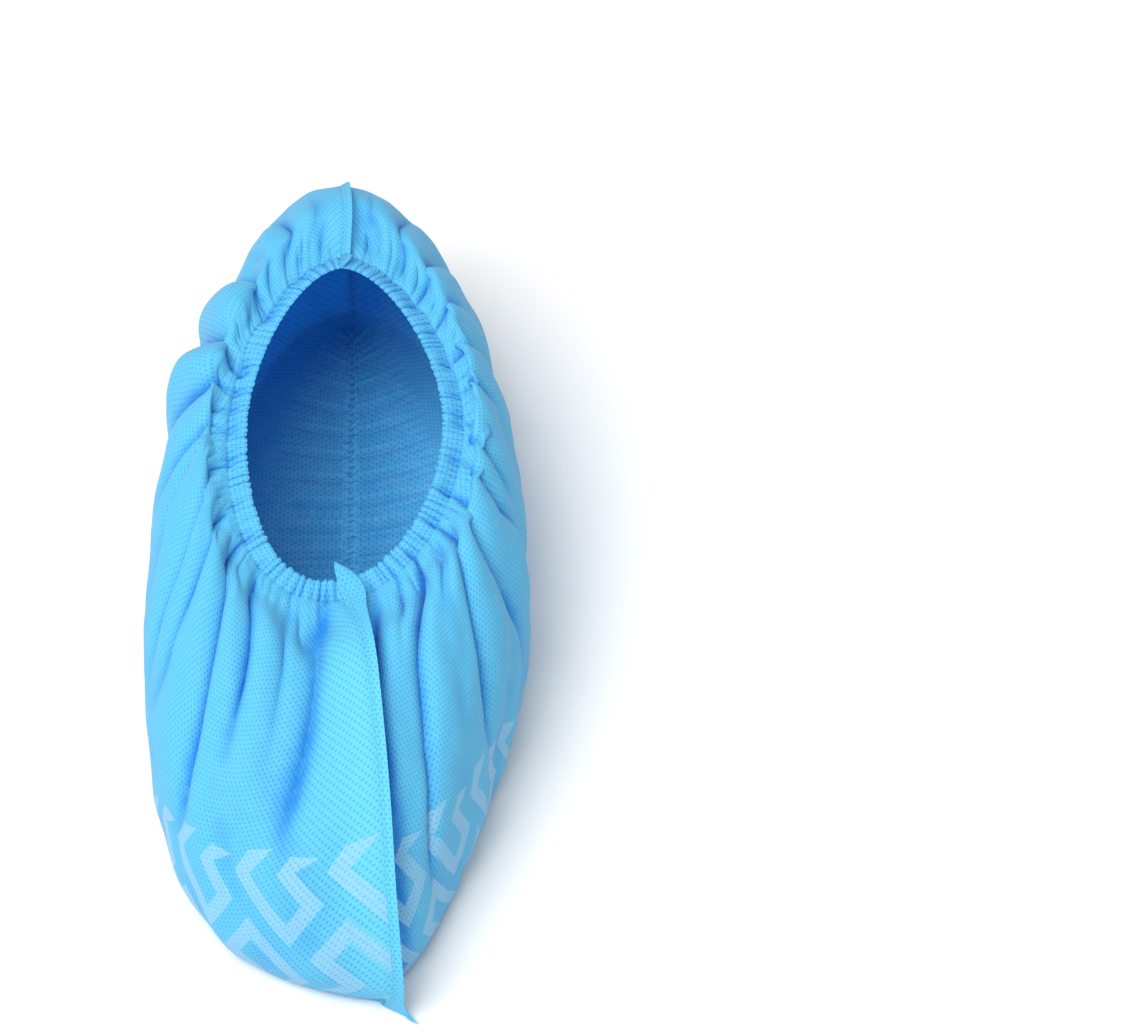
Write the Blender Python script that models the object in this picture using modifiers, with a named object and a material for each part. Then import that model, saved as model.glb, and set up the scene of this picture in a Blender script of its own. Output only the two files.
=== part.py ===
"""Disposable nonwoven shoe cover, worn shape, in metres with +Z up and the toe towards -Y.

One sheet is folded under the foot and welded at the toe and the heel, so it makes a pouch. The
top edge is an elastic hem that gathers the sheet round the ankle, and a second elastic gathers
the fold along the middle of the sole. The surface is a loft of half rings: share 0 is the toe
weld, share 1 the heel weld, and drop runs from the hem (0) over the side to the sole seam (1).
"""

import math
from collections import namedtuple

import bmesh
import bpy
import numpy as np

# Driving sizes of the worn cover
COVER_LENGTH = 0.306
COVER_WIDTH = 0.126
COVER_HEIGHT = 0.085
WALL = 0.0012
GAP = 0.0003

# Elastic hem round the mouth
HEM_WIDTH = 0.0070
HEM_THICKNESS = 0.0026
HEM_TILT = math.radians(14)
HEM_PUCKERS = 48
HEM_PUCKER_DEPTH = 0.0007
COLUMNS_A_PUCKER = 3

# Welded seams that stand out at the toe and the heel
SEAM_THICKNESS = 0.0012
TOE_SEAM_WIDTH_AT_HEM = 0.0038
TOE_SEAM_WIDTH = 0.0075
TOE_TAIL_LENGTH = 0.0125
TOE_SEAM_LEAN = math.radians(58)
HEEL_SEAM_WIDTH_AT_HEM = 0.0028
HEEL_SEAM_WIDTH = 0.0040
HEEL_TIP_LENGTH = 0.0050
HEEL_SEAM_LEAN = math.radians(18)

# Elastic seam along the middle of the sole
SOLE_SEAM_WIDTH = 0.0060
SOLE_SEAM_THICKNESS = 0.0011
SOLE_SEAM_PUCKERS = 30
SOLE_PINCH = 0.82
SOLE_PLEAT_DEPTH = 0.0010
GROOVE_SLOPE = 0.0009

# Gathers of the sheet below the hem, and the creases along its two welds
FOLD_DEPTH = 0.0046
CREST_HEIGHT = 0.0026
CREST_ROUNDNESS = 0.7
COLUMNS_A_FOLD = 4
TOE_RIDGE_HEIGHT = 0.0050
TOE_RIDGE_LEAN = 0.0025
HEEL_RIDGE_HEIGHT = 0.0015

# How far each side of its weld a ridge reaches, as shares of the half ring
TOE_RIDGE_LEFT = 0.050
TOE_RIDGE_RIGHT = 0.014
HEEL_RIDGE_SHARE = 0.02

# Rings of the sheet from the hem to the sole seam. x is a share of the width, y of the length and
# z of the height; the last three columns say how full each quarter is (2 is an ellipse).
Station = namedtuple(
    "Station",
    "drop mid_x front_x front_y front_z side_x side_y side_z back_x back_y back_z left right back",
)
STATIONS = (
    Station(0.00, 0.027, -0.020, -0.122, 0.80, 0.252, 0.075, 0.90, -0.010, 0.272, 1.00, 2.5, 1.9, 1.7),
    Station(0.12, 0.022, 0.005, -0.205, 0.82, 0.325, 0.050, 0.94, 0.000, 0.345, 1.04, 2.3, 1.9, 1.8),
    Station(0.32, 0.004, 0.060, -0.375, 0.62, 0.440, -0.010, 0.77, 0.000, 0.440, 0.83, 2.2, 1.7, 1.9),
    Station(0.50, -0.002, 0.080, -0.470, 0.36, 0.498, -0.070, 0.46, 0.005, 0.485, 0.48, 2.35, 1.5, 2.0),
    Station(0.62, 0.000, 0.090, -0.508, 0.13, 0.492, -0.095, 0.19, 0.005, 0.487, 0.20, 2.4, 1.43, 2.0),
    Station(0.70, 0.002, 0.090, -0.498, 0.00, 0.440, -0.095, 0.00, 0.005, 0.464, 0.00, 2.4, 1.43, 2.0),
    Station(1.00, 0.010, 0.050, -0.430, 0.00, 0.000, 0.000, 0.00, 0.000, 0.430, 0.00, 2.0, 2.0, 2.0),
)
DROPS_ABOVE_FLOOR = (0.0, 0.035, 0.075, 0.12, 0.17, 0.23, 0.30, 0.38, 0.46, 0.54, 0.61, 0.66)
DROPS_ON_SOLE = (0.70, 0.775, 0.85, 0.92)
RING_SAMPLES = 241

# Drops at which each feature is at its full size, or starts to fade out
FLOOR_DROP = 0.70
FOLDS_FULL = 0.10
WELD_LEAN_FULL = 0.16
RIDGES_FULL = 0.20
HEM_FOOT_LEFT = 0.22
SEAM_WIDTH_FULL = 0.25
HEEL_RIDGE_FADES = 0.50
TAIL_STARTS = 0.50
TOE_RIDGE_FADES = 0.56
PLEATS_FULL = 0.90

# Valleys between the gathers, toe weld to heel weld: shares of the half ring at the hem and where
# the fold ends, the drop it reaches, and its depth as a share of FOLD_DEPTH.
Fold = namedtuple("Fold", "at_hem at_end reach depth")
LEFT_FOLDS = (
    Fold(0.038, 0.066, 0.50, 0.95),
    Fold(0.116, 0.114, 0.52, 0.60),
    Fold(0.178, 0.160, 0.58, 1.10),
    Fold(0.224, 0.194, 0.50, 0.70),
    Fold(0.284, 0.226, 0.56, 0.90),
    Fold(0.376, 0.284, 0.54, 1.05),
    Fold(0.484, 0.388, 0.50, 1.05),
    Fold(0.555, 0.510, 0.50, 1.10),
    Fold(0.625, 0.605, 0.42, 0.80),
    Fold(0.700, 0.672, 0.58, 1.30),
    Fold(0.775, 0.762, 0.46, 0.80),
    Fold(0.850, 0.845, 0.54, 1.10),
    Fold(0.925, 0.930, 0.44, 0.85),
)
RIGHT_FOLDS = (
    Fold(0.034, 0.022, 0.56, 1.10),
    Fold(0.110, 0.056, 0.40, 0.55),
    Fold(0.196, 0.092, 0.56, 1.15),
    Fold(0.236, 0.178, 0.34, 0.60),
    Fold(0.290, 0.210, 0.52, 1.05),
    Fold(0.345, 0.262, 0.54, 0.95),
    Fold(0.425, 0.378, 0.58, 1.20),
    Fold(0.500, 0.462, 0.38, 0.80),
    Fold(0.575, 0.556, 0.54, 1.10),
    Fold(0.665, 0.650, 0.36, 0.80),
    Fold(0.755, 0.745, 0.44, 1.05),
    Fold(0.845, 0.840, 0.34, 0.75),
    Fold(0.925, 0.930, 0.42, 0.90),
)
PLAIN_SHEET = Fold(0.0, 0.0, 0.45, 0.0)
FOLD_FADE_SHARE = 0.45

# Pleats pressed flat beside the sole seam, as shares of the half ring, with their share of depth
Pleat = namedtuple("Pleat", "at depth")
SOLE_PLEATS = (
    Pleat(0.02, 1.0),
    Pleat(0.07, 0.9),
    Pleat(0.13, 0.8),
    Pleat(0.20, 0.5),
    Pleat(0.82, 0.5),
    Pleat(0.90, 0.8),
    Pleat(0.97, 1.0),
)
PLEAT_HALF_SHARE = 0.016
PLEAT_EDGE = 0.3

# The hem's cross section, from the mouth's rim round its top to its foot and back underneath
HemPoint = namedtuple("HemPoint", "share_of_width share_of_thickness")
HEM_RIM = HemPoint(0.02, 0.0)
HEM_SECTION = (
    HEM_RIM,
    HemPoint(0.22, 0.46),
    HemPoint(0.70, 0.40),
    HemPoint(1.00, 0.0),
    HemPoint(0.70, -0.40),
    HemPoint(0.22, -0.46),
)

# Where a weld crosses the hem, and how wide its fin is there as a share of its width at the hem
Crossing = namedtuple("Crossing", "share_of_hem share_of_width")
WELD_OVER_HEM = (Crossing(0.0, 1.2), Crossing(0.5, 0.9), Crossing(0.9, 0.9))

CLOTH_BLUE = (0.16, 0.52, 0.90, 1.0)
WELD_BLUE = (0.27, 0.63, 0.94, 1.0)
CLOTH_ROUGHNESS = 0.85


def clear_scene():
    for obj in list(bpy.data.objects):
        bpy.data.objects.remove(obj, do_unlink=True)


def ramp(value, low, high):
    """Smooth step from 0 at low to 1 at high."""
    share = np.clip((value - low) / (high - low), 0.0, 1.0)
    return share * share * (3.0 - 2.0 * share)


def station_at(drop):
    """The ring's values at this drop: a cubic through the stations that never overshoots them."""
    rows = np.array(STATIONS)
    drops, values = rows[:, 0], rows[:, 1:]
    spans = np.diff(drops)[:, None]
    slopes = np.diff(values, axis=0) / spans
    tangents = np.zeros_like(values)
    tangents[0], tangents[-1] = slopes[0], slopes[-1]
    before, after = slopes[:-1], slopes[1:]
    heavy, light = 2 * spans[1:] + spans[:-1], spans[1:] + 2 * spans[:-1]
    turning = before * after <= 0
    weighted = heavy / np.where(turning, 1.0, before) + light / np.where(turning, 1.0, after)
    tangents[1:-1] = np.where(turning, 0.0, (heavy + light) / weighted)
    k = int(np.clip(np.searchsorted(drops, drop, side="right") - 1, 0, len(drops) - 2))
    s, span = (drop - drops[k]) / spans[k, 0], spans[k, 0]
    along = (2 * s**3 - 3 * s**2 + 1) * values[k] + (3 * s**2 - 2 * s**3) * values[k + 1]
    along += span * ((s**3 - 2 * s**2 + s) * tangents[k] + (s**3 - s**2) * tangents[k + 1])
    return Station(drop, *along)


def half_ring(drop, side, shares):
    """Points on one side (+1 right, -1 left) of the ring at these shares of its own length."""
    st = station_at(drop)
    turn = np.linspace(0.0, math.pi, RING_SAMPLES)
    c, s = np.cos(turn), np.sin(turn)
    front = c > 0
    fullness = np.where(front, st.right if side > 0 else st.left, st.back)
    reach = np.abs(c) ** (2 / fullness)
    x = st.mid_x + side * st.side_x * s ** (2 / fullness)
    x = x + np.where(front, st.front_x * c**4, st.back_x * c**2)
    y = st.side_y + np.where(front, st.front_y - st.side_y, st.back_y - st.side_y) * reach
    z = st.side_z + np.where(front, st.front_z - st.side_z, st.back_z - st.side_z) * c**2
    points = np.column_stack([x * COVER_WIDTH, y * COVER_LENGTH, z * COVER_HEIGHT])
    steps = np.linalg.norm(np.diff(points, axis=0), axis=1)
    lengths = np.concatenate([[0.0], np.cumsum(steps)]) / steps.sum()
    return np.column_stack([np.interp(shares, lengths, points[:, k]) for k in range(3)])


def whole_ring(drop, right_shares, left_shares):
    """Right half from the toe to the heel, then the left half back to the toe."""
    right = half_ring(drop, 1, right_shares)
    left = half_ring(drop, -1, left_shares)
    return np.concatenate([right, left[-2:0:-1]])


def mouth_ring(columns):
    """The mouth's rim as a ring of evenly spaced points."""
    shares = np.linspace(0.0, 1.0, columns // 2 + 1)
    return whole_ring(0.0, shares, shares)


def outward_in_plan(ring):
    along = np.roll(ring, -1, axis=0) - np.roll(ring, 1, axis=0)
    outward = np.column_stack([-along[:, 1], along[:, 0], np.zeros(len(ring))])
    centre = ring.mean(axis=0)
    outward *= np.sign(np.sum((ring - centre) * outward))
    return outward / np.linalg.norm(outward, axis=1)[:, None]


def hem_direction(ring):
    """From the mouth's edge outwards and down, along the hem's own width."""
    down = np.array([0.0, 0.0, -math.sin(HEM_TILT)])
    return math.cos(HEM_TILT) * outward_in_plan(ring) + down


def fold_phases(folds):
    """Each column as (its fold, how far it is to the next one), with the welds as the ends."""
    gaps = len(folds) + 1
    return [(i, k / COLUMNS_A_FOLD) for i in range(gaps) for k in range(COLUMNS_A_FOLD)] + [(gaps, 0.0)]


def column_shares(folds, drop):
    """Where each column lies on the half ring: it follows its fold, and is even at the sole seam."""
    lines = [0.0]
    for fold in folds:
        lines.append(fold.at_hem + (fold.at_end - fold.at_hem) * float(ramp(drop, 0.0, fold.reach)))
    lines += [1.0, 1.0]
    phases = fold_phases(folds)
    along = np.array([lines[i] + (lines[i + 1] - lines[i]) * part for i, part in phases])
    even = np.linspace(0.0, 1.0, len(phases))
    return along + (even - along) * float(ramp(drop, FLOOR_DROP, 1.0))


def column_heights(folds, drop):
    """How far each column stands out of the ring: narrow valleys between broad rounded crests."""
    def strength(fold):
        fade = ramp(drop, FOLD_FADE_SHARE * fold.reach, fold.reach)
        return float(ramp(drop, 0.0, FOLDS_FULL) * (1.0 - fade))

    ends = [PLAIN_SHEET] + list(folds) + [PLAIN_SHEET, PLAIN_SHEET]
    heights = []
    for i, part in fold_phases(folds):
        low = [f.depth * strength(f) for f in (ends[i], ends[i + 1])]
        rise = math.sin(math.pi * part) ** CREST_ROUNDNESS
        valley = FOLD_DEPTH * (low[0] + (low[1] - low[0]) * part)
        crest = CREST_HEIGHT * (low[0] + low[1]) / 2
        heights.append(-valley + (valley + crest) * rise)
    return np.array(heights)


def groove_drops():
    """Drops at the edge and at the top of the groove that the sole seam lies in."""
    drops = np.linspace(1.0, FLOOR_DROP, RING_SAMPLES)
    halves = [station_at(drop).side_x * COVER_WIDTH for drop in drops]
    top = SOLE_SEAM_WIDTH / 2 + GAP
    return tuple(float(np.interp(half, halves, drops)) for half in (top + GROOVE_SLOPE, top))


def body_drops():
    return DROPS_ABOVE_FLOOR + DROPS_ON_SOLE + groove_drops() + (1.0,)


def ring_normals(grid):
    """Outward normals of a grid of rings, each closed on itself."""
    across = np.roll(grid, -1, axis=1) - np.roll(grid, 1, axis=1)
    down = np.gradient(grid, axis=0)
    normals = np.cross(down, across)
    lengths = np.linalg.norm(normals, axis=2)[:, :, None]
    normals = normals / np.maximum(lengths, 1e-12)
    steep = len(DROPS_ABOVE_FLOOR) - 2
    return normals * np.sign(np.sum(normals[steep] * outward_in_plan(grid[steep])))


def body_grid():
    """The sheet's outer surface, ring by ring from the hem's foot to the sole seam, and the
    normals that it has before the folds."""
    drops = body_drops()
    base = []
    for drop in drops:
        shares = [column_shares(folds, drop) for folds in (RIGHT_FOLDS, LEFT_FOLDS)]
        base.append(whole_ring(drop, *shares))
    grid = np.array(base)
    foot = hem_direction(grid[0]) * (HEM_WIDTH + GAP)
    for i, drop in enumerate(drops):
        grid[i] += foot * (1.0 - float(ramp(drop, 0.0, HEM_FOOT_LEFT)))
    normals = ring_normals(grid)
    groove_top = groove_drops()[1]
    for i, drop in enumerate(drops):
        if drop < FLOOR_DROP:
            grid[i] += normals[i] * stand_out(drop)[:, None]
            grid[i, :, 0] += TOE_RIDGE_LEAN * toe_ridge(drop)
            grid[i, :, 2] = np.maximum(grid[i, :, 2], WALL)
        elif drop >= groove_top:
            grid[i, :, 2] = SOLE_SEAM_THICKNESS + GAP
        else:
            grid[i, :, 2] = sole_pleats(drop)
    return grid, normals


def both_sides(values_of, drop):
    """A value for each column of the whole ring, from one that is worked out side by side."""
    right = values_of(RIGHT_FOLDS, 1, drop)
    left = values_of(LEFT_FOLDS, -1, drop)
    return np.concatenate([right, left[-2:0:-1]])


def toe_ridge(drop):
    """Share of the ridge that the toe weld pulls up: broad on the left, steep on the right."""
    along = float(ramp(drop, 0.0, RIDGES_FULL) * (1.0 - ramp(drop, TOE_RIDGE_FADES, FLOOR_DROP)))

    def across(folds, side, drop):
        half_width = TOE_RIDGE_RIGHT if side > 0 else TOE_RIDGE_LEFT
        return np.exp(-((column_shares(folds, drop) / half_width) ** 1.4))

    return both_sides(across, drop) * along


def heel_ridge(drop):
    """A low crease along the heel weld."""
    along = float(ramp(drop, 0.0, RIDGES_FULL) * (1.0 - ramp(drop, HEEL_RIDGE_FADES, FLOOR_DROP)))

    def across(folds, side, drop):
        return np.exp(-(((1.0 - column_shares(folds, drop)) / HEEL_RIDGE_SHARE) ** 2))

    return both_sides(across, drop) * HEEL_RIDGE_HEIGHT * along


def stand_out(drop):
    """How far each column stands out of the plain ring: gathers, and a ridge along each weld."""
    folds = both_sides(lambda rows, side, at: column_heights(rows, at), drop)
    ridge = toe_ridge(drop)
    return folds * (1.0 - ridge) + TOE_RIDGE_HEIGHT * ridge + heel_ridge(drop)


def sole_pleats(drop):
    """Lift of the sole's underside along the pleats beside the seam, nothing at the floor's edge."""
    along = float(ramp(drop, FLOOR_DROP, PLEATS_FULL))

    def across(folds, side, drop):
        shares = column_shares(folds, drop)
        lift = np.zeros(len(shares))
        for pleat in SOLE_PLEATS:
            near = np.exp(-(((shares - pleat.at) / PLEAT_HALF_SHARE) ** 2))
            lift = np.maximum(lift, pleat.depth * near)
        return np.where(lift > PLEAT_EDGE, lift, 0.0)

    return both_sides(across, drop) * SOLE_PLEAT_DEPTH * along


def object_from(bm, name, material):
    mesh = bpy.data.meshes.new(name)
    bmesh.ops.recalc_face_normals(bm, faces=bm.faces)
    bm.to_mesh(mesh)
    bm.free()
    mesh.shade_smooth()
    mesh.materials.append(material)
    return bpy.data.objects.new(name, mesh)


def add_wall(obj, thickness, offset):
    solidify = obj.modifiers.new("wall", "SOLIDIFY")
    solidify.thickness = thickness
    solidify.offset = offset
    solidify.use_even_offset = False


def make_material(name, colour):
    material = bpy.data.materials.new(name)
    material.use_nodes = True
    shader = material.node_tree.nodes["Principled BSDF"]
    shader.inputs["Base Color"].default_value = colour
    shader.inputs["Roughness"].default_value = CLOTH_ROUGHNESS
    shader.inputs["Metallic"].default_value = 0.0
    material.diffuse_color = colour
    return material


def make_body(material):
    """The pouch: rings from the hem to the sole, closed along the sole seam, hollow inside."""
    grid, normals = body_grid()
    bm = bmesh.new()
    rows = [[bm.verts.new(point) for point in ring] for ring in grid]
    columns = len(rows[0])
    for upper, lower in zip(rows, rows[1:]):
        for k in range(columns):
            after = (k + 1) % columns
            bm.faces.new((upper[k], lower[k], lower[after], upper[after]))
    for k in range(1, columns // 2):
        right, left = rows[-1][k], rows[-1][columns - k]
        middle = (right.co + left.co) / 2
        right.co = middle
        left.co = middle
    bmesh.ops.remove_doubles(bm, verts=rows[-1], dist=1e-6)
    obj = object_from(bm, "body", material)
    add_wall(obj, WALL, -1.0)
    return obj, grid, normals


def make_mouth_hem(material):
    """The gathered casing of the elastic, a flat ring with a pucker every few millimetres."""
    columns = HEM_PUCKERS * COLUMNS_A_PUCKER
    ring = mouth_ring(columns)
    run = hem_direction(ring)
    across = np.cross(run, np.roll(ring, -1, axis=0) - np.roll(ring, 1, axis=0))
    across /= np.linalg.norm(across, axis=1)[:, None]
    across *= np.sign(across[:, 2])[:, None]
    pucker = HEM_PUCKER_DEPTH * np.cos(2 * math.pi * np.arange(columns) / COLUMNS_A_PUCKER)
    bm = bmesh.new()
    rows = []
    for point in HEM_SECTION:
        lift = point.share_of_thickness * HEM_THICKNESS + np.sign(point.share_of_thickness) * pucker / 2
        reach = point.share_of_width * HEM_WIDTH + (pucker if point is HEM_RIM else 0.0 * pucker)
        places = ring + run * reach[:, None] + across * lift[:, None]
        rows.append([bm.verts.new(place) for place in places])
    for k, row in enumerate(rows):
        other = rows[(k + 1) % len(rows)]
        for j in range(columns):
            after = (j + 1) % columns
            bm.faces.new((row[j], row[after], other[after], other[j]))
    return object_from(bm, "mouth_hem", material)


def seam_strip(name, path, directions, widths, material):
    """A thin fin that stands on the path, as wide as its own row says."""
    bm = bmesh.new()
    rows = []
    for point, direction, width in zip(path, directions, widths):
        row = [point + direction * width * share for share in (0.0, 0.5, 1.0)]
        rows.append([bm.verts.new(place) for place in row])
    for upper, lower in zip(rows, rows[1:]):
        for k in (0, 1):
            bm.faces.new((upper[k], upper[k + 1], lower[k + 1], lower[k]))
    obj = object_from(bm, name, material)
    add_wall(obj, SEAM_THICKNESS, 0.0)
    return obj


def weld_path(grid, normals, column, lean, widths):
    """Root points, directions and widths of a fin: across the hem, then down the weld to the floor."""
    rows = len(DROPS_ABOVE_FLOOR)
    line = grid[:rows, column]
    outward = normals[:rows, column]
    clear = GAP + SEAM_THICKNESS / 2 * (1.0 + math.sin(lean) / 2)
    hem_top = HEM_THICKNESS / 2 + HEM_PUCKER_DEPTH + clear
    mouth = mouth_ring(grid.shape[1])[column]
    path, directions, all_widths = [], [], []
    for crossing in WELD_OVER_HEM:
        path.append(mouth + (line[0] - mouth) * crossing.share_of_hem + outward[0] * hem_top)
        directions.append(outward[0])
        all_widths.append(widths[0] * crossing.share_of_width)
    for point, normal, width, drop in zip(line, outward, widths, DROPS_ABOVE_FLOOR):
        angle = lean * float(ramp(drop, 0.0, WELD_LEAN_FULL))
        direction = normal * math.cos(angle) + np.array([math.sin(angle), 0.0, 0.0])
        direction /= np.linalg.norm(direction)
        path.append(point + direction * clear)
        directions.append(direction)
        all_widths.append(width)
    path = np.array(path)
    path[:, 2] = np.maximum(path[:, 2], SEAM_THICKNESS)
    return path, directions, all_widths


def tapered(at_hem, full, tip):
    """Fin width down the weld: it grows below the hem, and again to the tip near the floor."""
    drops = np.array(DROPS_ABOVE_FLOOR)
    below_hem = (full - at_hem) * ramp(drops, 0.0, SEAM_WIDTH_FULL)
    return at_hem + below_hem + (tip - full) * ramp(drops, TAIL_STARTS, drops[-1])


def make_toe_seam(grid, normals, material):
    widths = tapered(TOE_SEAM_WIDTH_AT_HEM, TOE_SEAM_WIDTH, TOE_TAIL_LENGTH)
    return seam_strip("toe_seam", *weld_path(grid, normals, 0, TOE_SEAM_LEAN, widths), material)


def make_heel_seam(grid, normals, material):
    widths = tapered(HEEL_SEAM_WIDTH_AT_HEM, HEEL_SEAM_WIDTH, HEEL_TIP_LENGTH)
    column = grid.shape[1] // 2
    return seam_strip("heel_seam", *weld_path(grid, normals, column, HEEL_SEAM_LEAN, widths), material)


def make_sole_seam(grid, material):
    """The elastic strip along the sole's fold, flush with the floor in the body's groove."""
    half = grid.shape[1] // 2
    groove = grid[-2]
    right, left = groove[:half + 1], np.concatenate([groove[:1], groove[:half - 1:-1]])
    low, high = right[0, 1] + SOLE_SEAM_WIDTH / 2, right[-1, 1] - SOLE_SEAM_WIDTH / 2
    bm = bmesh.new()
    rows = []
    for k, y in enumerate(np.linspace(low, high, 2 * SOLE_SEAM_PUCKERS + 1)):
        ends = [np.interp(y, side[:, 1], side[:, 0]) for side in (left, right)]
        middle = sum(ends) / 2
        reach = ((ends[1] - ends[0]) / 2 - GAP) * (SOLE_PINCH if k % 2 else 1.0)
        rows.append([bm.verts.new((middle + side * reach, y, 0.0)) for side in (-1, 1)])
    for upper, lower in zip(rows, rows[1:]):
        bm.faces.new((upper[0], upper[1], lower[1], lower[0]))
    obj = object_from(bm, "sole_seam", material)
    add_wall(obj, SOLE_SEAM_THICKNESS, 0.0)
    obj.location.z = SOLE_SEAM_THICKNESS / 2
    return obj


def centre_on_floor(pieces):
    """Moves the cover so that its box stands centred on the origin, on the floor."""
    bpy.context.view_layer.update()
    graph = bpy.context.evaluated_depsgraph_get()
    corners = []
    for piece in pieces:
        world = piece.evaluated_get(graph)
        corners += [world.matrix_world @ vertex.co for vertex in world.data.vertices]
    corners = np.array(corners)
    low, high = corners.min(axis=0), corners.max(axis=0)
    for piece in pieces:
        piece.location.x -= (low[0] + high[0]) / 2
        piece.location.y -= (low[1] + high[1]) / 2
        piece.location.z -= low[2]


def main():
    clear_scene()
    cloth = make_material("nonwoven", CLOTH_BLUE)
    weld = make_material("weld", WELD_BLUE)
    hem = make_material("hem", WELD_BLUE)
    sole_elastic = make_material("sole_elastic", CLOTH_BLUE)
    body, grid, normals = make_body(cloth)
    pieces = [
        body,
        make_mouth_hem(hem),
        make_toe_seam(grid, normals, weld),
        make_heel_seam(grid, normals, weld),
        make_sole_seam(grid, sole_elastic),
    ]
    collection = bpy.data.collections.new("shoe_cover")
    bpy.context.scene.collection.children.link(collection)
    for piece in pieces:
        collection.objects.link(piece)
    centre_on_floor(pieces)


main()
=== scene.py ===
"""Looks of the disposable shoe cover: the gathered sheet, its hem, welds and sole seam, round the
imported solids. Metres, +Z up, toe towards -Y. The sheet is worked out in the same way as the
solids, then relaxed as cloth, so its folds carry the spare length of the flat cut."""

import math
from collections import namedtuple
from functools import partialmethod

import bpy
import numpy as np
from mathutils import Matrix, Vector


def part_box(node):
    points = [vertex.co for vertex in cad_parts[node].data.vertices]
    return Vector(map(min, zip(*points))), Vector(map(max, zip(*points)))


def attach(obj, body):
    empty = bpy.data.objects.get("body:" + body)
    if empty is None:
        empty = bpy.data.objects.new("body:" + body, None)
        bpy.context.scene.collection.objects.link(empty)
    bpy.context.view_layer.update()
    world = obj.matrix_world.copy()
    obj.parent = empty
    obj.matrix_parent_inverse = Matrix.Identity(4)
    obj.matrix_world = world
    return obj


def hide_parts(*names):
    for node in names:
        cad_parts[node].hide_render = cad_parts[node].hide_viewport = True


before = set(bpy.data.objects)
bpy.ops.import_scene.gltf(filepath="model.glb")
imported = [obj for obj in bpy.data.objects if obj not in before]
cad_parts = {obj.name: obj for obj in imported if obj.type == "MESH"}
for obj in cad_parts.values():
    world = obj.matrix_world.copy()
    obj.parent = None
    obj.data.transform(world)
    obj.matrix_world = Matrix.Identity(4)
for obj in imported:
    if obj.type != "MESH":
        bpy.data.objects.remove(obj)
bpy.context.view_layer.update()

# Sizes of the worn cover, as in the solids. A drop is the way down the sheet, from 0 at the hem to 1
# at the sole's fold. The sheet leaves the hem's foot by HEM_FOOT_LEFT, its flat lengths are read at
# MIDDLE_DROP, its walls are steep at STEEP_DROP, and it meets the floor at FLOOR_DROP.
COVER_LENGTH = 0.306
COVER_WIDTH = 0.126
COVER_HEIGHT = 0.085
HEM_WIDTH = 0.0070
HEM_TILT = math.radians(14)
GAP = 0.0003
FLOOR_DROP = 0.70
MIDDLE_DROP = 0.50
STEEP_DROP = 0.55
HEM_FOOT_LEFT = 0.22

# The flat cut: both panels are one sheet, folded along the sole
FLAT_LENGTH = 0.400
FLAT_HEIGHT = 0.175
SHEET_THICKNESS = 0.00035

# Rings of the sheet, close to those of the solids: shares of the width, the length and the height
Station = namedtuple(
    "Station",
    "drop mid_x front_x front_y front_z side_x side_y side_z back_x back_y back_z left right back",
)
STATIONS = (
    Station(0.00, 0.027, -0.020, -0.122, 0.80, 0.252, 0.075, 0.90, -0.010, 0.272, 1.00, 2.5, 1.9, 1.7),
    Station(0.12, 0.022, 0.005, -0.205, 0.82, 0.325, 0.050, 0.94, 0.000, 0.345, 1.04, 2.3, 1.9, 1.8),
    Station(0.32, 0.004, 0.060, -0.375, 0.62, 0.434, -0.010, 0.77, 0.000, 0.440, 0.83, 2.2, 1.7, 1.9),
    Station(0.50, -0.002, 0.080, -0.462, 0.36, 0.484, -0.070, 0.46, 0.005, 0.485, 0.48, 2.55, 1.5, 2.0),
    Station(0.62, 0.000, 0.090, -0.491, 0.13, 0.478, -0.095, 0.19, 0.005, 0.487, 0.20, 2.75, 1.43, 2.0),
    Station(0.70, 0.002, 0.090, -0.480, 0.00, 0.434, -0.095, 0.00, 0.005, 0.464, 0.00, 2.75, 1.43, 2.0),
    Station(1.00, 0.010, 0.050, -0.430, 0.00, 0.000, 0.000, 0.00, 0.000, 0.430, 0.00, 2.0, 2.0, 2.0),
)
RING_SAMPLES = 361

# Grid of the sheet: columns all round, rows from the hem to the sole seam
COARSE_COLUMNS = 160
COARSE_ROWS = 37
ROW_PLACES = (0.0, 0.30, 0.62, 0.78, 1.0)
ROW_DROPS = (0.0, 0.20, 0.50, 0.68, 1.0)

# How the columns of the sheet gather at the toe, the side and the heel, by the drop
Spare = namedtuple("Spare", "drop toe side heel")
SPARES = (
    Spare(0.00, 1.85, 1.85, 1.85),
    Spare(0.06, 1.72, 1.80, 1.80),
    Spare(0.14, 1.50, 1.65, 1.68),
    Spare(0.22, 1.28, 1.48, 1.52),
    Spare(0.32, 1.14, 1.30, 1.38),
    Spare(0.50, 1.03, 1.12, 1.22),
    Spare(0.62, 1.02, 1.08, 1.16),
    Spare(0.70, 1.03, 1.10, 1.14),
    Spare(0.85, 1.12, 1.15, 1.20),
    Spare(1.00, 1.42, 1.42, 1.42),
)
SPARE_SHARES = (0.0, 0.18, 0.50, 1.0)
SPARE_SAMPLES = 401

# Which node and material slot each piece stands for
PIECES = {
    "side_right": ("body", "nonwoven"),
    "side_left": ("body", "nonwoven"),
    "hem": ("mouth_hem", "hem"),
    "toe_band": ("toe_seam", "weld"),
    "heel_band": ("heel_seam", "weld"),
    "sole_strip": ("sole_seam", "sole_elastic"),
}

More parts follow.
